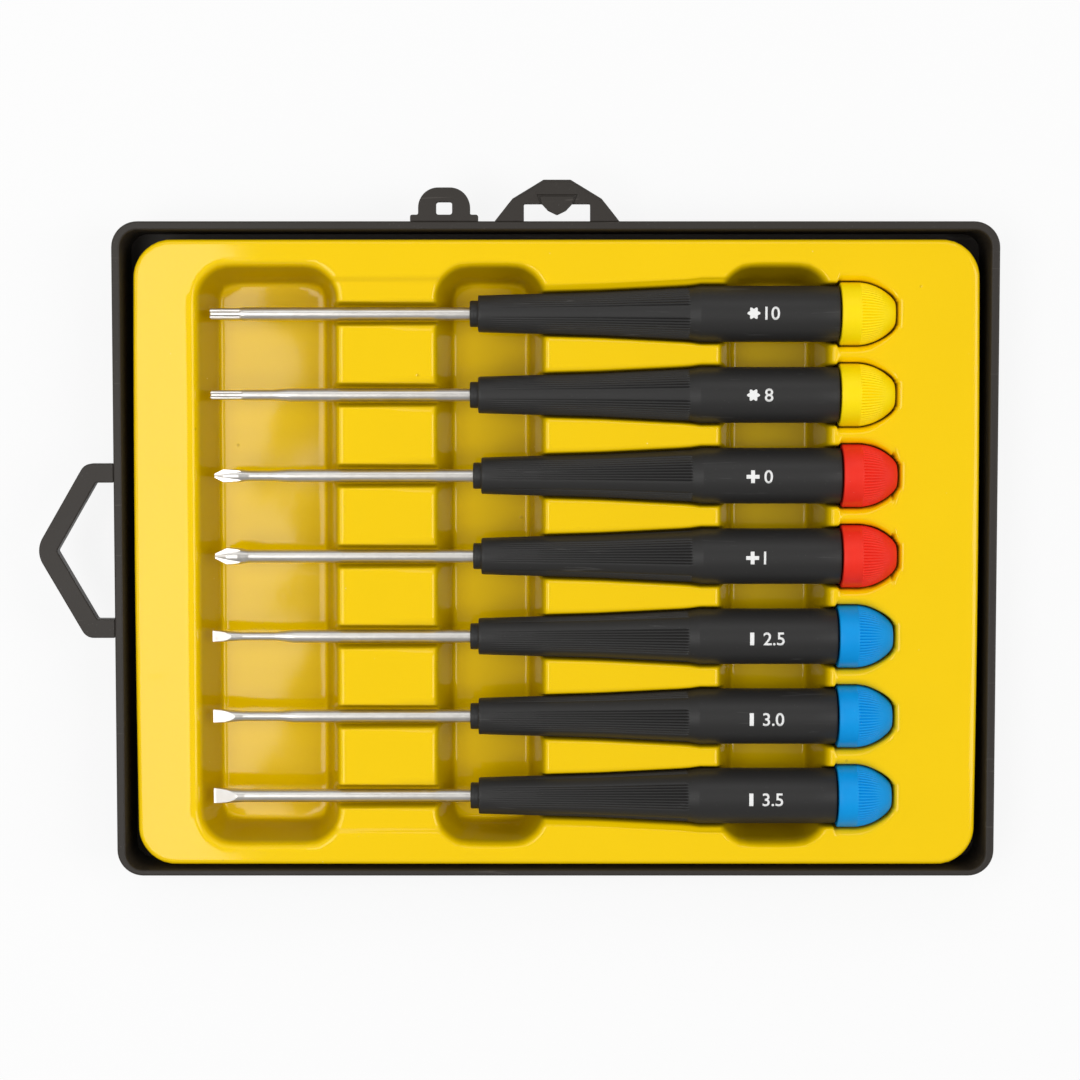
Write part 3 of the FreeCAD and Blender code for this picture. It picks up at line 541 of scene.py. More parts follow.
def number_mark(name, y, z):
    """Number as sliced text, rolled onto the barrel."""
    curve = bpy.data.curves.new("number", "FONT")
    curve.body = NUMBERS[name]
    curve.size = TEXT_SIZE
    curve.offset = 0.05
    flat = placed("number", curve)
    bpy.context.view_layer.update()
    mesh = bpy.data.meshes.new_from_object(flat.evaluated_get(bpy.context.evaluated_depsgraph_get()))
    bpy.data.objects.remove(flat)
    strips = bmesh.new()
    strips.from_mesh(mesh)
    bmesh.ops.triangulate(strips, faces=strips.faces)
    for height in np.arange(0.15, MARK_HEIGHT + 0.3, STRIP_HEIGHT):
        everything = strips.verts[:] + strips.edges[:] + strips.faces[:]
        bmesh.ops.bisect_plane(strips, geom=everything, plane_co=(0, height, 0), plane_no=(0, 1, 0))
    bmesh.ops.remove_doubles(strips, verts=strips.verts, dist=0.001)
    strips.to_mesh(mesh)
    strips.free()
    co = np.zeros(len(mesh.vertices) * 3)
    mesh.vertices.foreach_get("co", co)
    co = co.reshape(-1, 3)
    low, high = co.min(0), co.max(0)
    rolled = roll_onto(np.column_stack([
        NUMBER_X + co[:, 0] - low[0], co[:, 1] - (low[1] + high[1]) / 2
    ]), y, z)
    mesh.vertices.foreach_set("co", (rolled * MM).ravel())
    mesh.update()
    return placed("number_" + name, mesh)


marks = {}
for name in DRIVERS:
    y, z = PLACES[name][3:]
    marks[name] = [icon_mark(name, y, z), number_mark(name, y, z)]
    for mark in marks[name]:
        ink = mark.modifiers.new("ink", "SOLIDIFY")
        ink.thickness = INK * MM
        ink.offset = -1
print("marks:", sum(len(pair) for pair in marks.values()))

# %% [markdown]
# ## The formed tray
#
# The tray is one sheet of yellow plastic that was heated and sucked down over a mould. Nothing on
# it is sharp: every edge is a fillet that carries a thin line of light, and the flats wave a
# little. Modelled from solids it would need hundreds of fillets. It is easier as a height: for
# every point of the sheet, how far the mould pulls it down. Wells, nests and channels are each a
# simple depth, and a soft maximum joins them with fillets. The outermost rows of the grid fold
# down over the edge into the skirt.

# %% Grid lines of the sheet
tray_low, tray_high = ([c / MM for c in corner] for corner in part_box("tray"))
ROWS_Y = np.array([PLACES[name][3] for name in DRIVERS])
AXIS_DEPTH = tray_high[2] - PLACES[DRIVERS[0]][4]
TIP_X, NOSE_X, CAP_X = (float(np.median([PLACES[name][k] for name in DRIVERS])) for k in range(3))
PITCH = ROWS_Y[0] - ROWS_Y[1]
WELL_DEPTH = 15.3
WELL_RUN = 3.5
WELLS_X = [(TIP_X - 3.1, TIP_X + 29.6), (NOSE_X - 8.1, NOSE_X + 17.4), (CAP_X - 27.7, CAP_X - 2.2)]
WELL_Y = (ROWS_Y[-1] - 11.2, ROWS_Y[0] + 11.2)
WELL_CORNER = 8.0
BLOCKS_FROM = TIP_X + 13
GRIP_NESTS_FROM = NOSE_X + 4
FIELD_DEPTH = 1.0
CHANNEL_DEPTH = 4.8
FAR_ABOVE = -40.0
DRAFT = 0.8
EDGE_RADIUS = 1.2
CORNER_RADIUS = 9.5
FLAT = [
    tray_low[0] + DRAFT + EDGE_RADIUS, tray_high[0] - DRAFT - EDGE_RADIUS,
    tray_low[1] + DRAFT + EDGE_RADIUS, tray_high[1] - DRAFT - EDGE_RADIUS,
]
FOLD = EDGE_RADIUS * math.pi / 2
SKIRT = tray_high[2] - tray_low[2] - EDGE_RADIUS
FOLD_LINES = np.concatenate([np.linspace(0, FOLD, 6)[1:], [FOLD + SKIRT / 2, FOLD + SKIRT]])
SPARSE_LINES = 0.42
LINES_ALONG = 184
print("flat part of the tray in mm:", [round(value, 1) for value in FLAT])


def gathered(low, high, zones, count):
    """count lines from low to high that gather in zones (from, to, lines per mm).

    Their places are where the running total of the density passes equal shares."""
    fine = np.linspace(low, high, 8001)
    density = np.full_like(fine, SPARSE_LINES)
    for start, end, wanted in zones:
        density = np.maximum(density, wanted * ((fine > start) & (fine < end)))
    total = np.concatenate([[0], np.cumsum((density[1:] + density[:-1]) / 2)])
    return np.interp(np.linspace(0, total[-1], count), total, fine)


wall_zones = []
for start, end in WELLS_X:
    wall_zones += [(start - 1.3, start + WELL_RUN + 1.5, 2.3), (end - WELL_RUN - 1.5, end + 1.3, 2.3)]
wall_zones += [
    (CAP_X - 1.0, CAP_X + 0.5, 3.0), (CAP_X + 0.5, CAP_X + 11, 0.9), (CAP_X + 11, CAP_X + 15.4, 2.4)
]
lines_x = gathered(FLAT[0], FLAT[1], wall_zones, LINES_ALONG)
lines_x = np.concatenate([FLAT[0] - FOLD_LINES[::-1], lines_x, FLAT[1] + FOLD_LINES])

# %% Nests along the sheet
CAP_GAP = 0.33
CAP_LEAD = 0.3
CAP_NEST_END = 13.4
CAPS_X = np.array([PLACES[name][2] for name in DRIVERS])
CAP_SIDE = cap_path()[:-len(SOCKET_PATH)][::-1]
CAP_STOPS = np.array([0.3, 4.2, 5.5, 7.0, 8.5, 10.0, 11.2, 11.9, 12.7])


def cap_nest_half(along_cap):
    """Half the width of a cap's nest: the cap's own side plus a gap. Near the end, where that
    side turns in steeply, it is read a little early, so the gap stays open there too."""
    early = CAP_LEAD * smooth_step(along_cap, 8, 12)
    return np.interp((along_cap - early).clip(0.3, None), *CAP_SIDE.T) + CAP_GAP


GRIP_NEST_X = NOSE_X + np.array([12, 30.3, 50.6, 53.1])
GRIP_NEST_HALF = np.array([4.9, 5.4, 6.4, 6.83])
LINE_X = np.concatenate([
    [WELLS_X[0][1], WELLS_X[1][0]], GRIP_NEST_X, [CAP_X - 0.7], CAP_X + CAP_STOPS
])
LINE_HALF = np.concatenate([
    [3.0, 2.35], GRIP_NEST_HALF, [6.83], cap_nest_half(CAP_STOPS)
])


NEST_LINES = [(share, 0, 0) for share in (0.18, 0.38, 0.56, 0.72, 0.83, 0.9)]
WALL_TOP = 0.6
WALL_LINES = [(1, 0, c) for c in (-0.17, -0.02, 0.2, WALL_TOP)]
BLOCK_LINES = [(1, share, WALL_TOP * (1 - share)) for share in (0.26, 0.6)]
LAST_LINE = 12.3


def sheet_lines(x):
    """Y of every line that runs along the sheet, at every x: an array [x, line].

    A line (a, b, c) stands at a w + b (pitch / 2 - w) + c from a row's axis, with w the nest's
    half width there, so the lines follow the nest's sides along the whole sheet. Outside the
    first and the last row, evenly spaced lines run on past the wells instead."""
    half = np.interp(x, LINE_X, LINE_HALF)[:, None]
    a, b, c = np.array(NEST_LINES + WALL_LINES + BLOCK_LINES).T[:, None, :]
    inner = a * half + b * (PITCH / 2 - half) + c
    end_share = np.linspace(0, 1, 16)[1:]
    outer_end = half + WALL_TOP + (LAST_LINE - half - WALL_TOP) * end_share[None, :]
    at_nest = inner[:, :len(NEST_LINES + WALL_LINES)]
    rows = []
    for index, y in enumerate(ROWS_Y[::-1]):
        below = inner if index else np.hstack([at_nest, outer_end])
        above = inner if index < len(ROWS_Y) - 1 else np.hstack([at_nest, outer_end])
        rows += [y - below[:, ::-1], np.full((len(x), 1), y), y + above]
        if index < len(ROWS_Y) - 1:
            rows.append(np.full((len(x), 1), y + PITCH / 2))
    middle = np.hstack(rows)
    low = np.linspace(0, 1, 3, endpoint=False)[None, :]
    low = FLAT[2] + (middle[:, :1] - FLAT[2]) * low
    high = FLAT[3] + (middle[:, -1:] - FLAT[3]) * np.linspace(0, 1, 4, endpoint=False)[None, ::-1]
    column = np.ones((len(x), 1))
    return np.hstack([
        FLAT[2] - column * FOLD_LINES[::-1], low, middle, high, FLAT[3] + column * FOLD_LINES
    ])


flat_y = sheet_lines(lines_x)
flat_x = np.broadcast_to(lines_x[:, None], flat_y.shape)
rising = bool((np.diff(flat_y, axis=1) > 0).all())
print("grid of the tray:", flat_y.shape, "steps all rising:", rising)

# %% [markdown]
# The depths come next. Each one is a ramp: positive inside a hollow, negative outside, and limited
# by its floor. The wells share one steep ramp from a rounded rectangle. A nest is the round belly
# under a handle joined to a wall above the axis that leans out a little, and more round the caps,
# where the sheet flares. The last lines add the slow wave that makes reflections wander.

# %% Depth of the sheet
def inside_rectangle(x, y, x0, x1, y0, y1, radius):
    """Distance to the outline of a rounded rectangle, positive inside."""
    qx = np.abs(x - (x0 + x1) / 2) - (x1 - x0) / 2 + radius
    qy = np.abs(y - (y0 + y1) / 2) - (y1 - y0) / 2 + radius
    return radius - np.hypot(qx.clip(0, None), qy.clip(0, None)) - np.minimum(np.maximum(qx, qy), 0)


def well_depth(x, y):
    """The three wells: a ramp of one slope from the mouth to a flat floor."""
    deepest = np.full(x.shape, FAR_ABOVE)
    for x0, x1 in WELLS_X:
        ramp = inside_rectangle(x, y, x0, x1, *WELL_Y, WELL_CORNER) * WELL_DEPTH / WELL_RUN
        deepest = np.maximum(deepest, soft_min(ramp, np.full(x.shape, WELL_DEPTH), 4.5))
    return deepest


def field_depth(x, y):
    """The blocks between the shafts and the grips lie one millimetre lower than the rest: a ramp
    from the outline of the outermost drivers down to that depth."""
    reach = np.interp(x, NOSE_X + GRIP_PROFILE[:, 0], GRIP_PROFILE[:, 1]) + 1.8
    reach = np.where(x < NOSE_X - 3, 8.2, reach)
    ramp = np.minimum(ROWS_Y[0] + reach - y, y - ROWS_Y[-1] + reach) * 2.2
    ramp = np.where((x > BLOCKS_FROM) & (x < CAP_X - 15), ramp, FAR_ABOVE)
    return soft_min(ramp, np.full(x.shape, FIELD_DEPTH), 0.7)


def nest_depth(x, y):
    """Shaft channels, grip nests and cap nests of all rows.

    A grip's nest is a round belly below its axis, with steep walls above. Round a cap the nest
    follows the cap's own side at a small gap, and a shallow dish surrounds it."""
    gaps = np.abs(y[..., None] - ROWS_Y)
    off = gaps.min(-1)
    along_cap = x - CAPS_X[gaps.argmin(-1)]
    channel = soft_min(FIELD_DEPTH + (2.9 - off) * 3.4, np.full(x.shape, CHANNEL_DEPTH), 1.2)
    channel = np.where((x > BLOCKS_FROM) & (x < GRIP_NESTS_FROM), channel, FAR_ABOVE)
    at_cap = smooth_step(along_cap, -0.9, -0.3)
    half = np.interp(x, GRIP_NEST_X, GRIP_NEST_HALF) * (1 - at_cap)
    half = half + at_cap * cap_nest_half(along_cap)
    outside = soft_max(off - half, along_cap - CAP_NEST_END, 0.6)
    belly = AXIS_DEPTH + np.sqrt((half ** 2 - off ** 2).clip(0, None))
    rim = AXIS_DEPTH - (1.9 + 0.7 * smooth_step(along_cap, 6, 13)) * at_cap
    lean = np.where(outside > 0, 6.5 - 5.65 * at_cap, 7.0 + 13.0 * at_cap)
    nest = soft_min(belly, rim - outside * lean, 0.7)
    return np.maximum(channel, np.where(x > GRIP_NESTS_FROM, nest, FAR_ABOVE))


def slow_wave(x, y, seed, size, waves=9):
    """Sum of a few sine waves, 18 to 60 mm long, in random directions."""
    draws = np.random.default_rng(seed)
    total = np.zeros(x.shape)
    for _ in range(waves):
        heading = draws.uniform(0, 2 * math.pi)
        turns = 2 * math.pi / draws.uniform(18, 60)
        across = x * math.cos(heading) + y * math.sin(heading)
        total += np.sin(turns * across + draws.uniform(0, 6.3))
    return total * size / math.sqrt(waves)


FLOOR_TILT = 0.018


def sheet_depth(x, y):
    """How far the mould pulls each point of the sheet down: the largest of all depths, with
    fillets, plus a slow wave, and a sag and a slight tilt on the floors of the wells."""
    base = soft_max(field_depth(x, y), np.zeros(x.shape), 0.5)
    shallow = soft_max(base, nest_depth(x, y), 0.6)
    well = well_depth(x, y)
    depth = soft_max(shallow, well, 4.0)
    on_floor = smooth_step(well, 12, 15)
    tilted = FLOOR_TILT * (x - BLOCKS_FROM) * (x < NOSE_X - 15)
    sag = slow_wave(x, y, 5, 0.06) - 0.15 - tilted
    return depth + slow_wave(x, y, 3, 0.02) + on_floor * sag


# %% Fold the sheet over its edge
END_BOW = 0.45
HALF_WIDTH = 73


def folded_sheet(x, y):
    """Points of the whole sheet: the pressed flat, the rounded edge and the skirt.

    Near a corner the square grid is pushed onto circles round the corner's centre: the larger of
    the two distances becomes the radius, and the angle stays. Past the flat's outline the
    distance is wrapped down round the edge, and then down the drafted skirt. The two short
    sides bow in a little towards their ends."""
    corner = CORNER_RADIUS - DRAFT - EDGE_RADIUS
    centre_x = np.clip(x, FLAT[0] + corner, FLAT[1] - corner)
    centre_y = np.clip(y, FLAT[2] + corner, FLAT[3] - corner)
    dx, dy = x - centre_x, y - centre_y
    reach = np.maximum(np.abs(dx), np.abs(dy))
    length = np.hypot(dx, dy).clip(1e-9, None)
    beyond = (reach - corner).clip(0, None)
    turn = (beyond / EDGE_RADIUS).clip(0, math.pi / 2)
    down = (beyond - FOLD).clip(0, None)
    out = EDGE_RADIUS * np.sin(turn) + DRAFT * down / SKIRT
    drop = EDGE_RADIUS * (1 - np.cos(turn)) + down
    radius = np.minimum(reach, corner) + out
    px = centre_x + dx / length * radius
    py = centre_y + dy / length * radius
    bow = END_BOW * (py / HALF_WIDTH) ** 2 * smooth_step(np.abs(px), 86, 96)
    px = px - np.sign(px) * bow
    pressed = sheet_depth(px, py) * (1 - smooth_step(reach, corner - 2, corner))
    pz = tray_high[2] - drop - np.where(beyond > 0, 0, pressed)
    return np.stack([px, py, pz], -1)


SHEET = 0.8
sheet_quads = grid_quads(*flat_x.shape)
tray = new_object("formed_tray", folded_sheet(flat_x, flat_y).reshape(-1, 3), sheet_quads)
sheet = tray.modifiers.new("sheet", "SOLIDIFY")
sheet.thickness = SHEET * MM
sheet.offset = -1
print("triangles in the tray:", len(sheet_quads) * 4)

# %% [markdown]
# ## Case, tabs and carrying loop
#
# These are thick injection-moulded walls, and the CAD already has their shape. What it lacks is
# the small rounding that every moulded edge has and that draws the light lines along the rim. A
# copy of each CAD mesh has its loose triangles joined, and a bevel rounds only edges sharper than
# thirty degrees.

# %% Moulded copies
ROUND_ABOVE = math.radians(30)


def moulded_copy(node, rounding):
    """Copy of a CAD node with its triangles joined and its sharp edges rounded."""
    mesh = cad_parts[node].data.copy()
    mesh.materials.clear()
    joined = bmesh.new()
    joined.from_mesh(mesh)
    bmesh.ops.remove_doubles(joined, verts=joined.verts, dist=0.002 * MM)
    bmesh.ops.dissolve_limit(
        joined, angle_limit=math.radians(1), verts=joined.verts, edges=joined.edges
    )
    joined.to_mesh(mesh)
    joined.free()
    mesh.shade_smooth()
    mesh.set_sharp_from_angle(angle=ROUND_ABOVE)
    piece = placed("moulded_" + node, mesh)
    edge = piece.modifiers.new("edges", "BEVEL")
    edge.width = rounding * MM
    edge.segments = 2
    edge.limit_method = "ANGLE"
    edge.angle_limit = ROUND_ABOVE
    edge.harden_normals = True
    return piece


ROUNDINGS = {"case_base": 0.18, "carry_handle": 0.3, "hang_tab": 0.12, "lock_tab": 0.15}
moulded = {node: moulded_copy(node, rounding) for node, rounding in ROUNDINGS.items()}
print({name: len(piece.data.polygons) for name, piece in moulded.items()})

# %% [markdown]
# ## Writing materials as sums
#
# A material is arithmetic on patterns: grain plus dust, roughness minus polish. Wiring that by
# hand takes dozens of Math nodes. The class below wraps a socket, so `0.4 + 0.1 * grain` adds the
# nodes by itself. Colours do not go through Math nodes, which would turn them grey: they meet in
# `blend`, which adds a Mix node.

# %% A small language for shaders
class Value:
    """A number that varies over the surface: the output socket of a node."""

    def __init__(self, finish, socket):
        self.finish = finish
        self.socket = socket

    def maths(self, operation, first, second):
        made = self.finish.node(
            "ShaderNodeMath", {"operation": operation}, {0: first, 1: second}
        )
        return Value(self.finish, made.outputs[0])

    def __add__(self, other):
        return self.maths("ADD", self, other)

    def __sub__(self, other):
        return self.maths("SUBTRACT", self, other)

    def __mul__(self, other):
        return self.maths("MULTIPLY", self, other)

    def __rsub__(self, other):
        return self.maths("SUBTRACT", other, self)

    def __abs__(self):
        return self.maths("ABSOLUTE", self, 0)

    __radd__ = __add__
    __rmul__ = __mul__


class Finish:
    """One material: its node tree, its Principled shader and the patterns it is made of."""

    def __init__(self, label, **constants):
        self.material = bpy.data.materials.new(label)
        self.material.use_nodes = True
        self.tree = self.material.node_tree
        self.shader = self.tree.nodes["Principled BSDF"]
        for socket, value in constants.items():
            self.shader.inputs[socket.replace("_", " ")].default_value = value
        place = self.node("ShaderNodeTexCoord")
        self.place = Value(self, place.outputs["Object"])

    def node(self, kind, settings=None, inputs=None):
        """Adds a node, sets it up, then feeds its sockets with numbers, colours or Values."""
        made = self.tree.nodes.new(kind)
        for setting, value in (settings or {}).items():
            setattr(made, setting, value)
        for socket, value in (inputs or {}).items():
            if isinstance(value, Value):
                self.tree.links.new(value.socket, made.inputs[socket])
            else:
                made.inputs[socket].default_value = value
        return made

    def stretched(self, x, y, z):
        """Object coordinates multiplied along each axis, to draw a pattern out."""
        made = self.node("ShaderNodeMapping", {}, {"Vector": self.place, "Scale": (x, y, z)})
        return Value(self, made.outputs[0])

    def noise(self, per_mm, detail=2.0, place=None, distortion=0.0):
        """Noise from 0 to 1 with about per_mm features in a millimetre."""
        made = self.node("ShaderNodeTexNoise", {}, {
            "Vector": place or self.place, "Scale": per_mm / MM, "Detail": detail,
            "Distortion": distortion,
        })
        return Value(self, made.outputs[0])

    def specks(self, per_mm, size, place=None):
        """Small round specks: 1 in the middle of a Voronoi cell, and 0 past its size."""
        made = self.node("ShaderNodeTexVoronoi", {}, {
            "Vector": place or self.place, "Scale": per_mm / MM
        })
        return self.between(Value(self, made.outputs["Distance"]), size, size * 0.4)

    def between(self, value, low, high):
        """0 at low and 1 at high, smoothly; low may be above high."""
        made = self.node(
            "ShaderNodeMapRange", {"interpolation_type": "SMOOTHSTEP"},
            {"Value": value, "From Min": low, "From Max": high},
        )
        return Value(self, made.outputs[0])

    def parts(self, vector):
        """The three parts of a vector, each as a number."""
        made = self.node("ShaderNodeSeparateXYZ", {}, {0: vector})
        return [Value(self, socket) for socket in made.outputs]

    def blend(self, share, first, second):
        """Colour that goes from first to second with a share from 0 to 1."""
        made = self.node(
            "ShaderNodeMix", {"data_type": "RGBA"}, {0: share, 6: first, 7: second}
        )
        return Value(self, made.outputs[2])

    def bump(self, height, millimetres, normal=None):
        """Normal that makes a height pattern stand up by so many millimetres."""
        inputs = {"Height": height, "Distance": millimetres * MM}
        if normal is not None:
            inputs["Normal"] = normal
        return Value(self, self.node("ShaderNodeBump", {}, inputs).outputs[0])

    def feed(self, **values):
        """Feeds the shader's sockets, with spaces in their names written as underscores."""
        for socket, value in values.items():
            self.tree.links.new(value.socket, self.shader.inputs[socket.replace("_", " ")])


# %% [markdown]
# ## Yellow tray sheet
#
# Formed polystyrene is glossy, with a slight orange-peel ripple left by the heat, a few bubbles,
# and fine dust that static holds on it. The colour itself hardly changes; what the eye reads is
# the reflection, so most of the detail is in the bump and the roughness. The steep and deep walls
# of the wells and nests carry painted shade: their base colour is made darker and browner where
# shade falls in these hollows. The steepness comes from the surface's own normal and the depth
# from its height. The skirt is left out of this painted shade.

# %% Tray finish
# Painted shade: the dark brown blended into the base colour of steep, deep walls in the hollows.
PAINTED_WELL_SHADE = (0.45, 0.29, 0.0, 1)
PALE_DUST = (1.0, 0.86, 0.42, 1)
PIT_BROWN = (0.55, 0.33, 0.0, 1)


def tray_finish():
    f = Finish("formed_yellow", Specular_IOR_Level=0.32)
    cloudy = f.noise(0.03, 3)
    peel = f.noise(0.35, 2)
    dust = f.specks(0.16, 0.035) * f.between(f.noise(0.05, 1), 0.45, 0.6)
    pits = f.specks(0.09, 0.045)
    scuffs = f.between(f.noise(0.5, 4, f.stretched(0.12, 1.0, 1.0), 0.4), 0.66, 0.74)
    colour = f.blend(cloudy, (0.92, 0.6, 0.0, 1), (0.96, 0.635, 0.0, 1))
    surface = f.node("ShaderNodeNewGeometry")
    _, _, upright = f.parts(Value(f, surface.outputs["Normal"]))
    x, y, height = f.parts(f.place)
    from_middle_x = abs(x - (FLAT[0] + FLAT[1]) * MM / 2)
    from_middle_y = abs(y - (FLAT[2] + FLAT[3]) * MM / 2)
    off_skirt = f.between(from_middle_x, 0.0945, 0.0925) * f.between(from_middle_y, 0.0705, 0.0685)
    steep = f.between(upright, 0.9, 0.3)
    deep = f.between(height, 0.0176, 0.0142)
    # Painted shade: steep and deep parts of the sheet, off the skirt, are darkened towards the brown.
    colour = f.blend(off_skirt * deep * (0.16 + 0.8 * steep), colour, PAINTED_WELL_SHADE)
    colour = f.blend(dust * 0.6, colour, PALE_DUST)
    colour = f.blend(pits * 0.5, colour, PIT_BROWN)
    normal = f.bump(peel, 0.006)
    normal = f.bump(pits + dust * 0.4, 0.04, normal)
    f.feed(
        Base_Color=colour,
        Roughness=0.05 + 0.04 * cloudy + 0.12 * scuffs + 0.3 * dust,
        Normal=normal,
    )
    return f.material


# %% [markdown]
# ## Black mouldings
#
# The case is satin: the mould was textured with a fine grain, and handling has left pale hair
# scratches and lint. The handles are a harder, finer grain. Real black plastic is never zero, so
# the base is a warm dark grey, and dust lifts it in places. One function makes both, because
# only the numbers differ.

# %% Black finishes
LINT_GREY = (0.32, 0.31, 0.29, 1)


def black_finish(label, base, grain_per_mm, grain_height, roughness, dust_share):
    f = Finish(label, Specular_IOR_Level=0.3)
    grain = f.noise(grain_per_mm, 3)
    cloudy = f.noise(0.05, 3)
    hair = f.noise(0.9, 2, f.stretched(0.06, 1.0, 0.5), 1.2)
    scratches = f.between(hair, 0.68, 0.73)
    lint = f.specks(0.45, 0.05) * f.between(f.noise(0.12, 2), 0.5, 0.66)
    fine = f.specks(1.3, 0.12) * f.between(f.noise(0.3, 2), 0.52, 0.62)
    pale = tuple(min(1.0, c * 2.2 + 0.03) for c in base) + (1,)
    dark = tuple(c * 0.82 for c in base) + (1,)
    colour = f.blend(cloudy * 0.6 + grain * 0.4, dark, base + (1,))
    colour = f.blend(scratches * 0.35, colour, pale)
    colour = f.blend((lint + fine) * dust_share, colour, LINT_GREY)
    normal = f.bump(grain, grain_height)
    f.feed(
        Base_Color=colour,
        Roughness=roughness - 0.08 * cloudy + 0.1 * grain + 0.12 * lint,
        Normal=f.bump(scratches, 0.006, normal),
    )
    return f.material


# %% [markdown]
# ## Coloured caps, steel and white marks
#
# The caps are satin plastic whose colour tells the tip: yellow for star, red for cross, blue for
# slot. The blades are nickel-plated: bright, with faint rings from grinding, so their grain is
# noise that is squeezed along the shaft. The marks are printed ink with small gaps in it.

# %% Cap, blade and ink finishes
def cap_finish(label, light, deep):
    f = Finish(label, Specular_IOR_Level=0.2)
    cloudy = f.noise(0.25, 3)
    grain = f.noise(5.0, 2)
    dust = f.specks(0.8, 0.07) * f.between(f.noise(0.2, 2), 0.5, 0.65)
    colour = f.blend(cloudy, deep + (1,), light + (1,))
    colour = f.blend(dust * 0.35, colour, (0.85, 0.84, 0.8, 1))
    f.feed(
        Base_Color=colour,
        Roughness=0.34 + 0.1 * cloudy + 0.06 * grain,
        Normal=f.bump(grain, 0.006),
    )
    return f.material


def steel_finish():
    f = Finish("nickel_steel")
    rings = f.noise(1.0, 3, f.stretched(6.0, 0.3, 0.3))
    cloudy = f.noise(0.3, 3)
    stain = f.between(f.noise(0.6, 4), 0.58, 0.75)
    colour = f.blend(cloudy, (0.6, 0.575, 0.54, 1), (0.74, 0.715, 0.68, 1))
    colour = f.blend(stain * 0.25, colour, (0.42, 0.39, 0.35, 1))
    f.feed(
        Base_Color=colour,
        Metallic=0.97 - 0.25 * stain,
        Roughness=0.26 + 0.1 * rings + 0.08 * stain,
        Normal=f.bump(rings, 0.004),
    )
    return f.material


def ink_finish():
    f = Finish("white_ink", Specular_IOR_Level=0.3)
    worn = f.between(f.noise(2.2, 3), 0.62, 0.8)
    colour = f.blend(worn * 0.5, (0.86, 0.86, 0.85, 1), (0.45, 0.45, 0.45, 1))
    f.feed(Base_Color=colour, Roughness=0.45 + 0.2 * worn, Normal=f.bump(worn, 0.004))
    return f.material


CASE_BLACK = black_finish(
    "case_satin_black", (0.032, 0.0265, 0.0215),
    grain_per_mm=3.2, grain_height=0.02, roughness=0.47, dust_share=0.35
)
HANDLE_BLACK = black_finish(
    "handle_hard_black", (0.025, 0.0242, 0.0236),
    grain_per_mm=4.5, grain_height=0.012, roughness=0.42, dust_share=0.2
)
TRAY_YELLOW = tray_finish()
STEEL = steel_finish()
INK_WHITE = ink_finish()
CAP_FINISHES = {
    "star": cap_finish("cap_yellow_satin", (1.0, 0.79, 0.0), (0.98, 0.7, 0.0)),
    "cross": cap_finish("cap_red_satin", (0.92, 0.036, 0.016), (0.82, 0.022, 0.011)),
    "slot": cap_finish("cap_blue_satin", (0.0, 0.33, 0.8), (0.0, 0.275, 0.71)),
}
print("finishes:", len(bpy.data.materials))

# %% [markdown]
# ## Every piece rides on its body
#
# The frame's bodies move at the joints: the tray lifts out of the case, each driver lifts out of
# its nest, and each cap spins on its handle. A piece rides on the body that it belongs to and
# stands for its CAD node, which is hidden.

# %% Bodies and nodes
def dress(piece, material, body, node=None):
    """Gives a piece its material and its body, and hides the CAD node it stands for."""
    piece.data.materials.clear()
    piece.data.materials.append(material)
    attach(piece, body)
    if node:
        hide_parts(node)


for node, piece in moulded.items():
    dress(piece, CASE_BLACK, "case", node)
dress(tray, TRAY_YELLOW, "tray", "tray")
for name in DRIVERS:
    kind = name.split("_")[0]
    driver, swivel = "driver_" + name, "swivel_" + name
    dress(blades[name], STEEL, driver, "blade_" + name)
    dress(handles[name], HANDLE_BLACK, driver, "handle_" + name)
    dress(caps[name], CAP_FINISHES[kind], swivel, "cap_" + name)
    for mark in marks[name]:
        dress(mark, INK_WHITE, driver)

# %% [markdown]
# ## Floor, light and camera
#
# The set lies on a white table under four soft lights in a pale room. The strongest hangs at the
# left, facing down, where the tray's flat left part mirrors it. The others are wide and weak and
# fill the shadows. The floor turns white for the camera, for mirrored rays and for rays through
# clear parts, but keeps a share of its real shading, so the object's shadow stays.

# %% Floor
GLOW_SHARE = 0.86


def white_floor():
    f = Finish("table_white", Roughness=0.8)
    paper = f.noise(0.4, 3)
    f.feed(Base_Color=f.blend(paper, (0.8, 0.8, 0.8, 1), (0.84, 0.84, 0.84, 1)))
    light = f.node("ShaderNodeLightPath")
    seen = Value(f, light.outputs["Is Camera Ray"]) + Value(f, light.outputs["Is Glossy Ray"])
    seen = seen + Value(f, light.outputs["Is Transmission Ray"])
    glow = f.node("ShaderNodeEmission", {}, {"Color": (1, 1, 1, 1), "Strength": 1.0})
    both = f.node("ShaderNodeMixShader", {}, {0: seen * GLOW_SHARE})
    f.tree.links.new(f.shader.outputs[0], both.inputs[1])
    f.tree.links.new(glow.outputs[0], both.inputs[2])
    f.tree.links.new(both.outputs[0], f.tree.nodes["Material Output"].inputs[0])
    return f.material


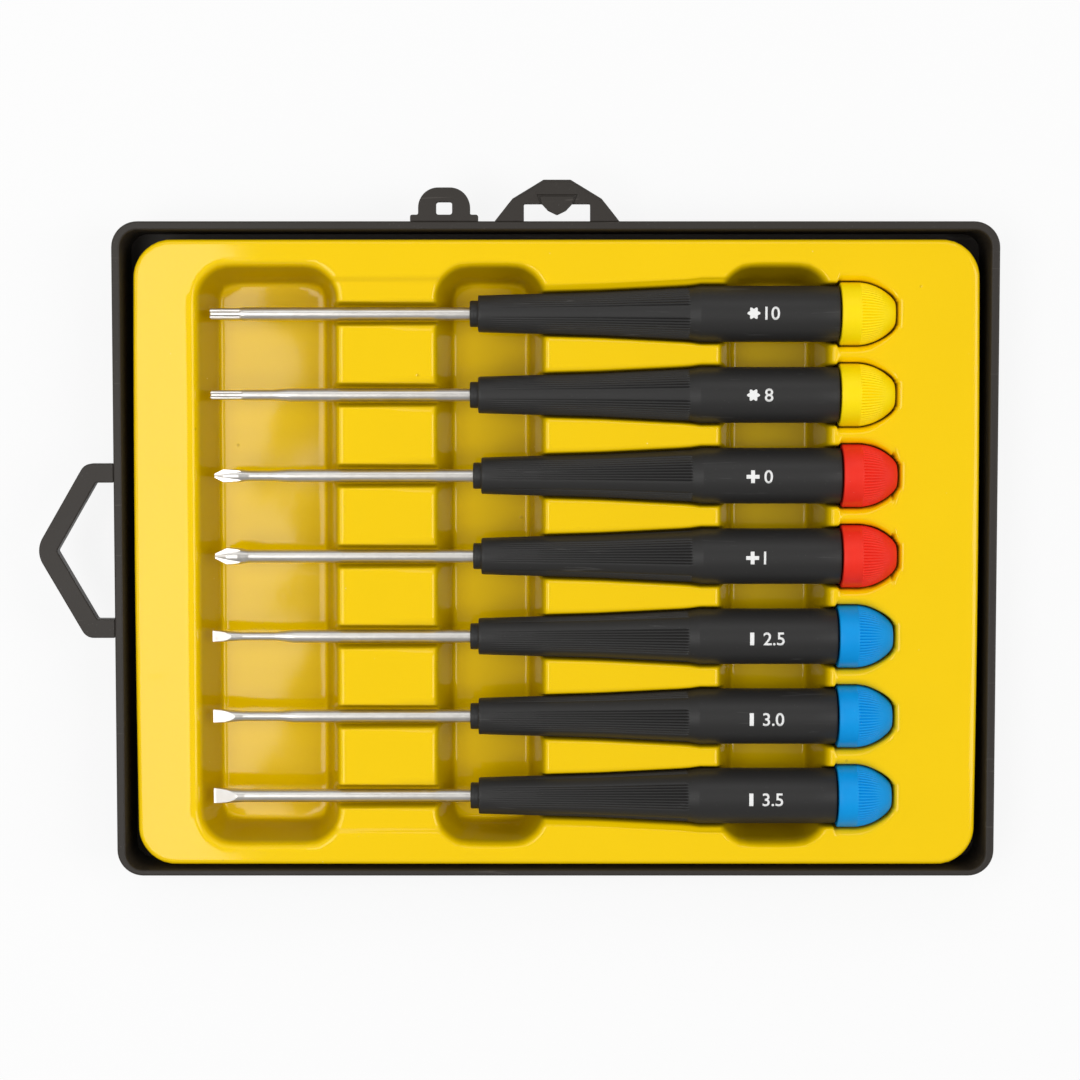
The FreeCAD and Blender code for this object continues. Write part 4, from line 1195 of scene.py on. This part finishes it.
FLOOR_HALF = 6000.0
FLOOR_LINES = 9
FLOOR_Z = cad_box[0][2] / MM - 0.02
lines = np.linspace(-FLOOR_HALF, FLOOR_HALF, FLOOR_LINES)
floor_x, floor_y = np.meshgrid(lines, lines, indexing="ij")
floor_points = np.stack([floor_x, floor_y, np.full_like(floor_x, FLOOR_Z)], -1)
floor = new_object("table", floor_points.reshape(-1, 3), grid_quads(FLOOR_LINES, FLOOR_LINES))
floor.data.materials.append(white_floor())

# %% Lights
def soft_light(label, place, aim, width, height, radiance):
    """Rectangular light: a face that gives radiance L over an area A needs pi L A watts."""
    lamp = bpy.data.lights.new(label, "AREA")
    lamp.shape = "RECTANGLE"
    lamp.size = width
    lamp.size_y = height
    lamp.energy = math.pi * radiance * width * height
    thing = placed(label, lamp)
    thing.location = place
    thing.rotation_euler = (Vector(aim) - Vector(place)).to_track_quat("-Z", "Y").to_euler()


soft_light("left_softbox", (-0.395, -0.05, 0.917), (-0.395, -0.05, 0), 0.42, 0.7, 3.8)
soft_light("left_side", (-1.05, 0.1, 0.5), (0, 0, 0), 0.5, 0.9, 1.2)
soft_light("right_top", (0.8, 0.0, 0.85), (0, 0, 0), 0.5, 0.9, 3.3)
soft_light("far_side", (0.05, 0.8, 0.85), (0, 0, 0), 1.0, 0.4, 1.4)

world = bpy.data.worlds.new("pale_room")
bpy.context.scene.world = world
world.use_nodes = True
sky = world.node_tree
background = sky.nodes["Background"]
background.inputs["Color"].default_value = (1, 1, 1, 1)
background.inputs["Strength"].default_value = 0.4

# %% Camera
lens = bpy.data.cameras.new("camera")
lens.lens = 86.0
lens.sensor_width = 36.0
lens.clip_start = 0.01
camera = placed("camera", lens)
camera.location = (-0.0036, 0.0405, 0.613)
AIM_Y, AIM_Z = 0.0024, 0.0155
tilt = math.atan((camera.location.y - AIM_Y) / (camera.location.z - AIM_Z))
camera.rotation_euler = (-tilt, 0, 0)
bpy.context.scene.camera = camera
bpy.context.scene.view_settings.view_transform = "Standard"
